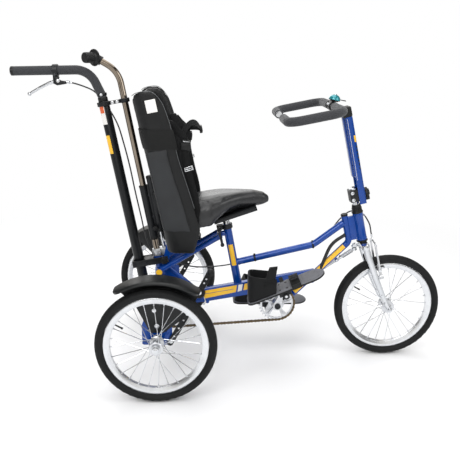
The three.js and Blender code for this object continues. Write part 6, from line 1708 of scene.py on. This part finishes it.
def fork_piece():
    p = Piece("chrome_fork")
    p.add(plate(capsule(0, -43, 15, 0, 43, 15, 16), -82, -60, soft=4, across="Z"), chrome)
    p.add(bar((0, 0, -71), (0, 0, 109), 12.4, sides=36, soft=0.6), chrome)
    p.add(bar((0, 0, -61), (0, 0, -58.9), 16, sides=40), chrome)
    drops = [0.2, 0.25, 0.32, 0.4, 0.5, 0.6, 0.68, 0.76, 0.84, 0.9, 0.95, 0.985]
    rakes = [0, 0.03, 0.08, 0.16, 0.25, 0.35, 0.46, 0.57, 0.67, 0.76, 0.87, 0.96]
    sizes = [12.5, 12.5, 12.5, 12.5, 12.2, 11.8, 11.6, 10.6, 9.8, 9.4, 8.6, 8]
    for side in (-1, 1):
        line = [Vector((fork_rake * r, side * 45, -fork_drop * d)) for d, r in zip(drops, rakes)]
        p.add(swept(line, 1, 32, ends=sizes), chrome)
        p.add(turned([(0, -10), (7.6, -9), (8.4, -6), (8.2, 0), (0, 0)], 28), chrome,
              Matrix.Translation((46.2, side * 45, -fork_drop * 0.985)))
        tab = arc(fork_rake, -fork_drop, 11, radians(-200), radians(20), 18)
        tab += [(50, -fork_drop + 16), (43, -fork_drop + 20)]
        p.add(plate(tab, side * 45 - 4, side * 45 + 4, soft=0.8), chrome)
        p.add(bar((fork_rake, side * 48.6, -fork_drop), (fork_rake, side * 50.4, -fork_drop), 11.5,
                  sides=28), alloy)
        p.add(bar((fork_rake, side * 50.4, -fork_drop), (fork_rake, side * 56.5, -fork_drop), 9, sides=6,
                  soft=0.8), chrome)
        p.add(turned([(7, 0), (6.4, 2.4), (3.6, 4), (0, 4.6)], 20), chrome,
              sideways((fork_rake, side * 56, -fork_drop), side))
        p.add(bar((10, side * 44, pivot_u), (31, side * 44, pivot_u), 6, sides=20, soft=0.6), chrome)
        for f, u in ((38, -fork_drop * 0.8), (44, -fork_drop * 0.9)):
            p.add(bar((f - 14, side * 45, u), (f - 8, side * 55.4, u), 3.4, sides=12), chrome)
    p.add(bar((fork_rake, -45, -fork_drop), (fork_rake, 45, -fork_drop), 4.6, sides=20), chrome)
    p.add(plate(capsule(0, 45, 10, -26, 45, 10, 14), -90, -80, [disc(-26, 45, 4.1, 18)], soft=1, across="Z"),
          chrome)
    p.add(bolt((-26, 45, -80.2), (0, 0, 1), 5.4, 4.4), chrome)
    return p


fork_piece().place(steer, ["fork"], smooth=40)

cover = Piece("headset_cover")
cover.add(turned([(12.8, 52.4), (20, 52.4), (20.6, 53.4), (20.6, 56.6), (19.8, 58), (18.4, 58.6), (18, 66),
                  (17, 76), (16.2, 79), (15, 84.2), (12.8, 84.4),
                  (12.8, 52.4)], 44), plastic)
for i in range(3):
    cover.add(turned([(17.2, 62 + i * 4), (18.6, 62.8 + i * 4), (17.2, 64 + i * 4), (16.6, 63 + i * 4),
                      (17.2, 62 + i * 4)], 44), plastic)
cover.place(steer, ["headset_top_cover"], smooth=40)
cup = Piece("headset_lower_bearing_cup")
cup.add(turned([(12.8, -59.2), (19, -59.2), (20.6, -57.6), (20.6, -54), (20, -52.4), (12.8, -52.4),
                (12.8, -59.2)], 44), plastic)
cup.place(steer, ["headset_lower_cup"], smooth=40)


def brake_arm_piece(side):
    p = Piece(f"front_brake_arm_{'near' if side < 0 else 'far'}_lever")
    places = ((44, pivot_u - 6), (41.5, pivot_u + 10), (38, pad_u), (36.4, pad_u + 40), (34, top_u))
    line = [Vector((38, side * y, u)) for y, u in places]
    p.add(swept(line, 1, section=[(-4, -6), (4, -6), (4, 6), (-4, 6)], ends=[1, 1, 1, 0.86, 0.74]), alloy)
    p.add(bar((31.6, side * 44, pivot_u), (45.4, side * 44, pivot_u), 8.4, sides=24, soft=0.8), alloy)
    p.add(bolt((45.4, side * 44, pivot_u), (1, 0, 0), 4.6, 3.8), chrome)
    p.add(block(15, 61, side * 14.6, side * 21, pad_u - 4, pad_u + 4, 1.2), plastic)
    p.add(block(18, 58, side * 20.4, side * 22.4, pad_u - 2.6, pad_u + 2.6, 0.8), alloy)
    p.add(bar((38, side * 22, pad_u), (38, side * 46, pad_u), 4, sides=20), chrome)
    p.add(turned([(4.2, 0), (8.4, 0), (8.4, 1.6), (6.6, 4), (4.2, 4)], 24), dark_steel,
          sideways((38, side * 27, pad_u), side))
    p.add(bar((38, side * 43, pad_u), (38, side * 48, pad_u), 6.4, sides=6, soft=0.6), chrome)
    p.add(bar((34, side * 34, top_u - 7), (43, side * 34, top_u - 7), 5, sides=20, soft=0.5), chrome)
    # Return spring beside the arm
    spring = [(30.6, side * 47.4, pivot_u), (30.6, side * 47.6, pivot_u + 20), (31.4, side * 44, pad_u + 18),
              (32, side * 41.4, pad_u + 26)]
    p.add(swept(curved(spring), 0.9, 8), chrome)
    return p


for side, node in ((-1, "front_brake_arm_near"), (1, "front_brake_arm_far")):
    brake_arm_piece(side).place(steer, [node], smooth=38)


# Handlebar
def bar_post_piece():
    p = Piece("two_tone_bar_post")
    low, high = 86, 402
    p.add(plate([(31, -25), (34, -25), (34, -5.4), (31, -5.4)], low, 172, soft=0.4, across="Z"), enamel)
    p.add(plate([(31, 5.4), (34, 5.4), (34, 25), (31, 25)], low, 172, soft=0.4, across="Z"), enamel)
    p.add(block(31, 34, -5.6, 5.6, low, 106, 0.3), enamel)
    p.add(block(31, 34, -25, 25, 171.6, high, 0.6), enamel)
    for y in (-1, 1):
        p.add(block(10, 33, y * 22, y * 25, low, high, 0.8), enamel)
    p.add(block(10, 31.6, -22.4, 22.4, 186.2, high, 0.2), enamel)
    p.add(block(2, 10.6, -12, 12, 188, high, 1.6), enamel)
    p.add(block(9.6, 10.4, -13.6, 13.6, 188, high), chrome)
    for i in range(6):
        u = 214 + i * 26
        p.add(block(33.9, 34.7, -7, 7, u, u + 2.6, 0.2), steel_black)
    p.add(block(33.9, 34.5, -18, 18, 372, 392, 0.1), yellow)
    for y in (-1, 1):
        # A pale line near the post's rear corner on each side: a painted highlight along that corner.
        p.add(block(14.4, 15.4, y * 25 - 0.3, y * 25 + 0.3, 176, 396, 0.05), pale)
        p.add(block(27, 33, y * 25 - 0.4, y * 25 + 0.4, 312, 336, 0.1), yellow)
        for i in range(7):
            p.add(block(28.6, 33.2, y * 25 - 0.4, y * 25 + 0.4, 214 + i * 13, 221 + i * 13, 0.1), steel_black)
    return p


bar_post_piece().place(steer, ["handlebar_post"], smooth=35)


def bar_post_cap_piece():
    p = Piece("bar_post_end_cap")
    p.add(block(2, 35, -26, 26, 402.3, 436.3, 3), plastic)
    for u in (408, 413, 418):
        p.add(block(1.6, 35.4, -26.4, 26.4, u, u + 2, 0.6), plastic)
    p.add(bolt((35, 0, 424), (1, 0, 0), 4, 2.6), chrome)
    return p


bar_post_cap_piece().place(steer, ["handlebar_post_cap"], smooth=38)


def post_clamp_piece():
    p = Piece("stem_clamp_block")
    p.add(block(-20, 30.7, -21.5, 21.5, 97, 142, 3), steel_black)
    p.add(turned([(0, 0), (14.6, 0), (16, 1), (16, 4.6), (14, 6), (0, 6.4)], 32), chrome,
          Matrix.Translation((0, 0, 141.6)))
    p.add(turned([(0, 0), (4.4, 0), (4.4, 3), (0, 3)], 6), dark_steel, Matrix.Translation((0, 0, 147.8)))
    p.add(bar((28, 0, 116), (44, 0, 116), 4, sides=20, soft=0.4), chrome)
    for y, u in ((-1, 106), (1, 106), (-1, 132), (1, 132)):
        p.add(bolt((-10, y * 21.5, u), (0, y, 0), 4.6, 3.6), chrome)
    p.add(block(-21, -18, -1.2, 1.2, 97.5, 141.5), dark_steel)
    return p


post_clamp_piece().place(steer, ["post_clamp"], smooth=38)


def knob_piece():
    p = Piece("lobed_clamp_knob")
    outline = []
    for i in range(3):
        middle = i / 3 * 2 * pi
        outline += arc(0, 0, 24, middle - pi / 6, middle + pi / 6, 8)
        outline.append((12.4 * cos(middle + pi / 3), 12.4 * sin(middle + pi / 3)))
    aim = Matrix.Translation((34.3, 0, 116)) @ tilt(90)
    p.add(plate(outline, 2, 17, soft=2.6, across="Z"), plastic, aim)
    p.add(bar((34.3, 0, 116), (37, 0, 116), 13, sides=32, soft=0.6), plastic)
    p.add(turned([(0, 17.6), (7, 17.4), (9.6, 16.4), (9.8, 14), (0, 14)], 28), dark_steel, aim)
    return p


knob_piece().place(steer, ["post_knob"], smooth=38)

bar_frame = steer @ Matrix.Translation((bar_x, 0, bar_z)) @ tilt(head_lean - 11.6)


def bar_corners(side):
    return [Vector((0, 0, 0)), Vector((0, side * 212, 0)), Vector((-180, side * 212, 0)),
            Vector((-180, side * 68, 0))]


def handlebar_piece():
    p = Piece("chrome_handlebar")
    near, far = bar_corners(-1), bar_corners(1)
    near[3].y, far[3].y = -71, 71
    p.add(swept(route(list(reversed(near[1:])) + far[1:], 46, 0.08), 11, 36), chrome)
    for y in [22 - i * 1.2 for i in range(9)]:
        for side in (-1, 1):
            p.add(bar((0, side * y, 0), (0, side * (y - 0.6), 0), 11.25, sides=30), alloy)
    return p


handlebar_piece().place(bar_frame, ["handlebar"], smooth=40)


def bar_grip_piece(name, side):
    p = Piece(f"{name}_foam_sleeve")
    corners = bar_corners(side)
    corners[0] = Vector((0, side * 46, 0))
    line = route(corners, 46, 0.08)
    bm = bmesh.new()
    rows = []
    last, sides, bore, lip, outer = len(line) - 1, 32, 11.4, 13.8, 15
    order = [(0, bore), (0, lip)] + [(i, outer) for i in range(last + 1)]
    order += [(last, lip), (last, bore), (last, bore)]
    for i, radius in order:
        # The last ring of all turns inwards and closes the sleeve's end
        here = line[i] + Vector((0, side * 14 if len(rows) == len(order) - 1 else 0, 0))
        up = Vector((0, 0, 1))
        out = along_at(line, i).cross(up).normalized()
        rows.append([bm.verts.new(here + (out * cos(a) + up * sin(a)) * radius)
                     for a in [k / sides * 2 * pi for k in range(sides)]])
    for a, b in zip(rows, rows[1:]):
        for k in range(sides):
            bm.faces.new((a[k - 1], a[k], b[k], b[k - 1]))
    bm.faces.new(rows[0])
    bm.faces.new(rows[-1])
    p.add(bm, foam)
    p.add(bar((0, side * 45, 0), (0, side * 48.4, 0), 15.6, sides=36, soft=0.8), plastic)
    return p


for name, side in (("near", -1), ("far", 1)):
    bar_grip_piece(name, side).place(bar_frame, [f"{name}_bar_grip"], smooth=45)


def bar_clamp_piece():
    p = Piece("bar_clamp_ring")
    ring = turned([(11.2, -19), (15.4, -19), (16.5, -17.8), (16.5, 17.8), (15.4, 19), (11.2, 19),
                   (11.2, -19)], 44)
    p.add(ring, plastic, sideways((bar_x, 0, bar_z)))
    p.add(block(bar_x, 1.6, -14, 14, 418.3, 437, 2), plastic)
    p.add(block(bar_x, 1.6, -14, 14, 431, 446, 1), plastic)
    for y in (-10, 10):
        p.add(bolt((bar_x - 12, y, bar_z + 11), (-0.74, 0, 0.67), 3.6, 3.4), chrome)
        p.add(bar((-36, y, bar_z - 9), (-30, y, bar_z - 4), 3.4, sides=14), chrome)
    return p


bar_clamp_piece().place(steer, ["handlebar_clamp"], smooth=38)

bell_frame = steer @ Matrix.Translation((bar_x, -6, bar_z)) @ tilt(25) @ Matrix.Translation((0, 0, 16.8))
bell = Piece("domed_bell")
bell.add(turned([(0, 0), (13, 0), (14, 0.8), (14, 2.4), (19.4, 3.6), (20, 4.4), (20, 5.2), (0, 5.2)], 44),
         plastic)
dome = [(0, 5.6), (19.6, 5.6), (20.2, 6.2), (20.2, 7.4), (19.8, 8)]
dome += [(19.8 * cos(t), 8 + 15.6 * sin(t)) for t in [i / 14 * pi / 2 for i in range(1, 14)]] + [(0, 23.6)]
bell.add(turned(dome, 56), teal)
bell.add(turned([(0, 23), (4.4, 23), (4.8, 23.6), (4, 25), (2, 25.6), (0, 25.7)], 28), chrome)
bell.place(bell_frame, ["bell"], smooth=45)
thumb = Piece("bell_thumb_lever")
thumb.add(plate([(20.6, -4.5), (30, -3.2), (38, -4.8), (40.4, -3), (40.6, 0), (40.4, 3), (38, 4.8),
                 (30, 3.2), (20.6, 4.5)], 8, 11, soft=1, across="Z"), plastic)
for i in range(4):
    thumb.add(block(33 + i * 1.6, 33.8 + i * 1.6, -3.4, 3.4, 10.8, 11.6, 0.2), plastic)
thumb.place(bell_frame, ["bell_lever"], smooth=38)
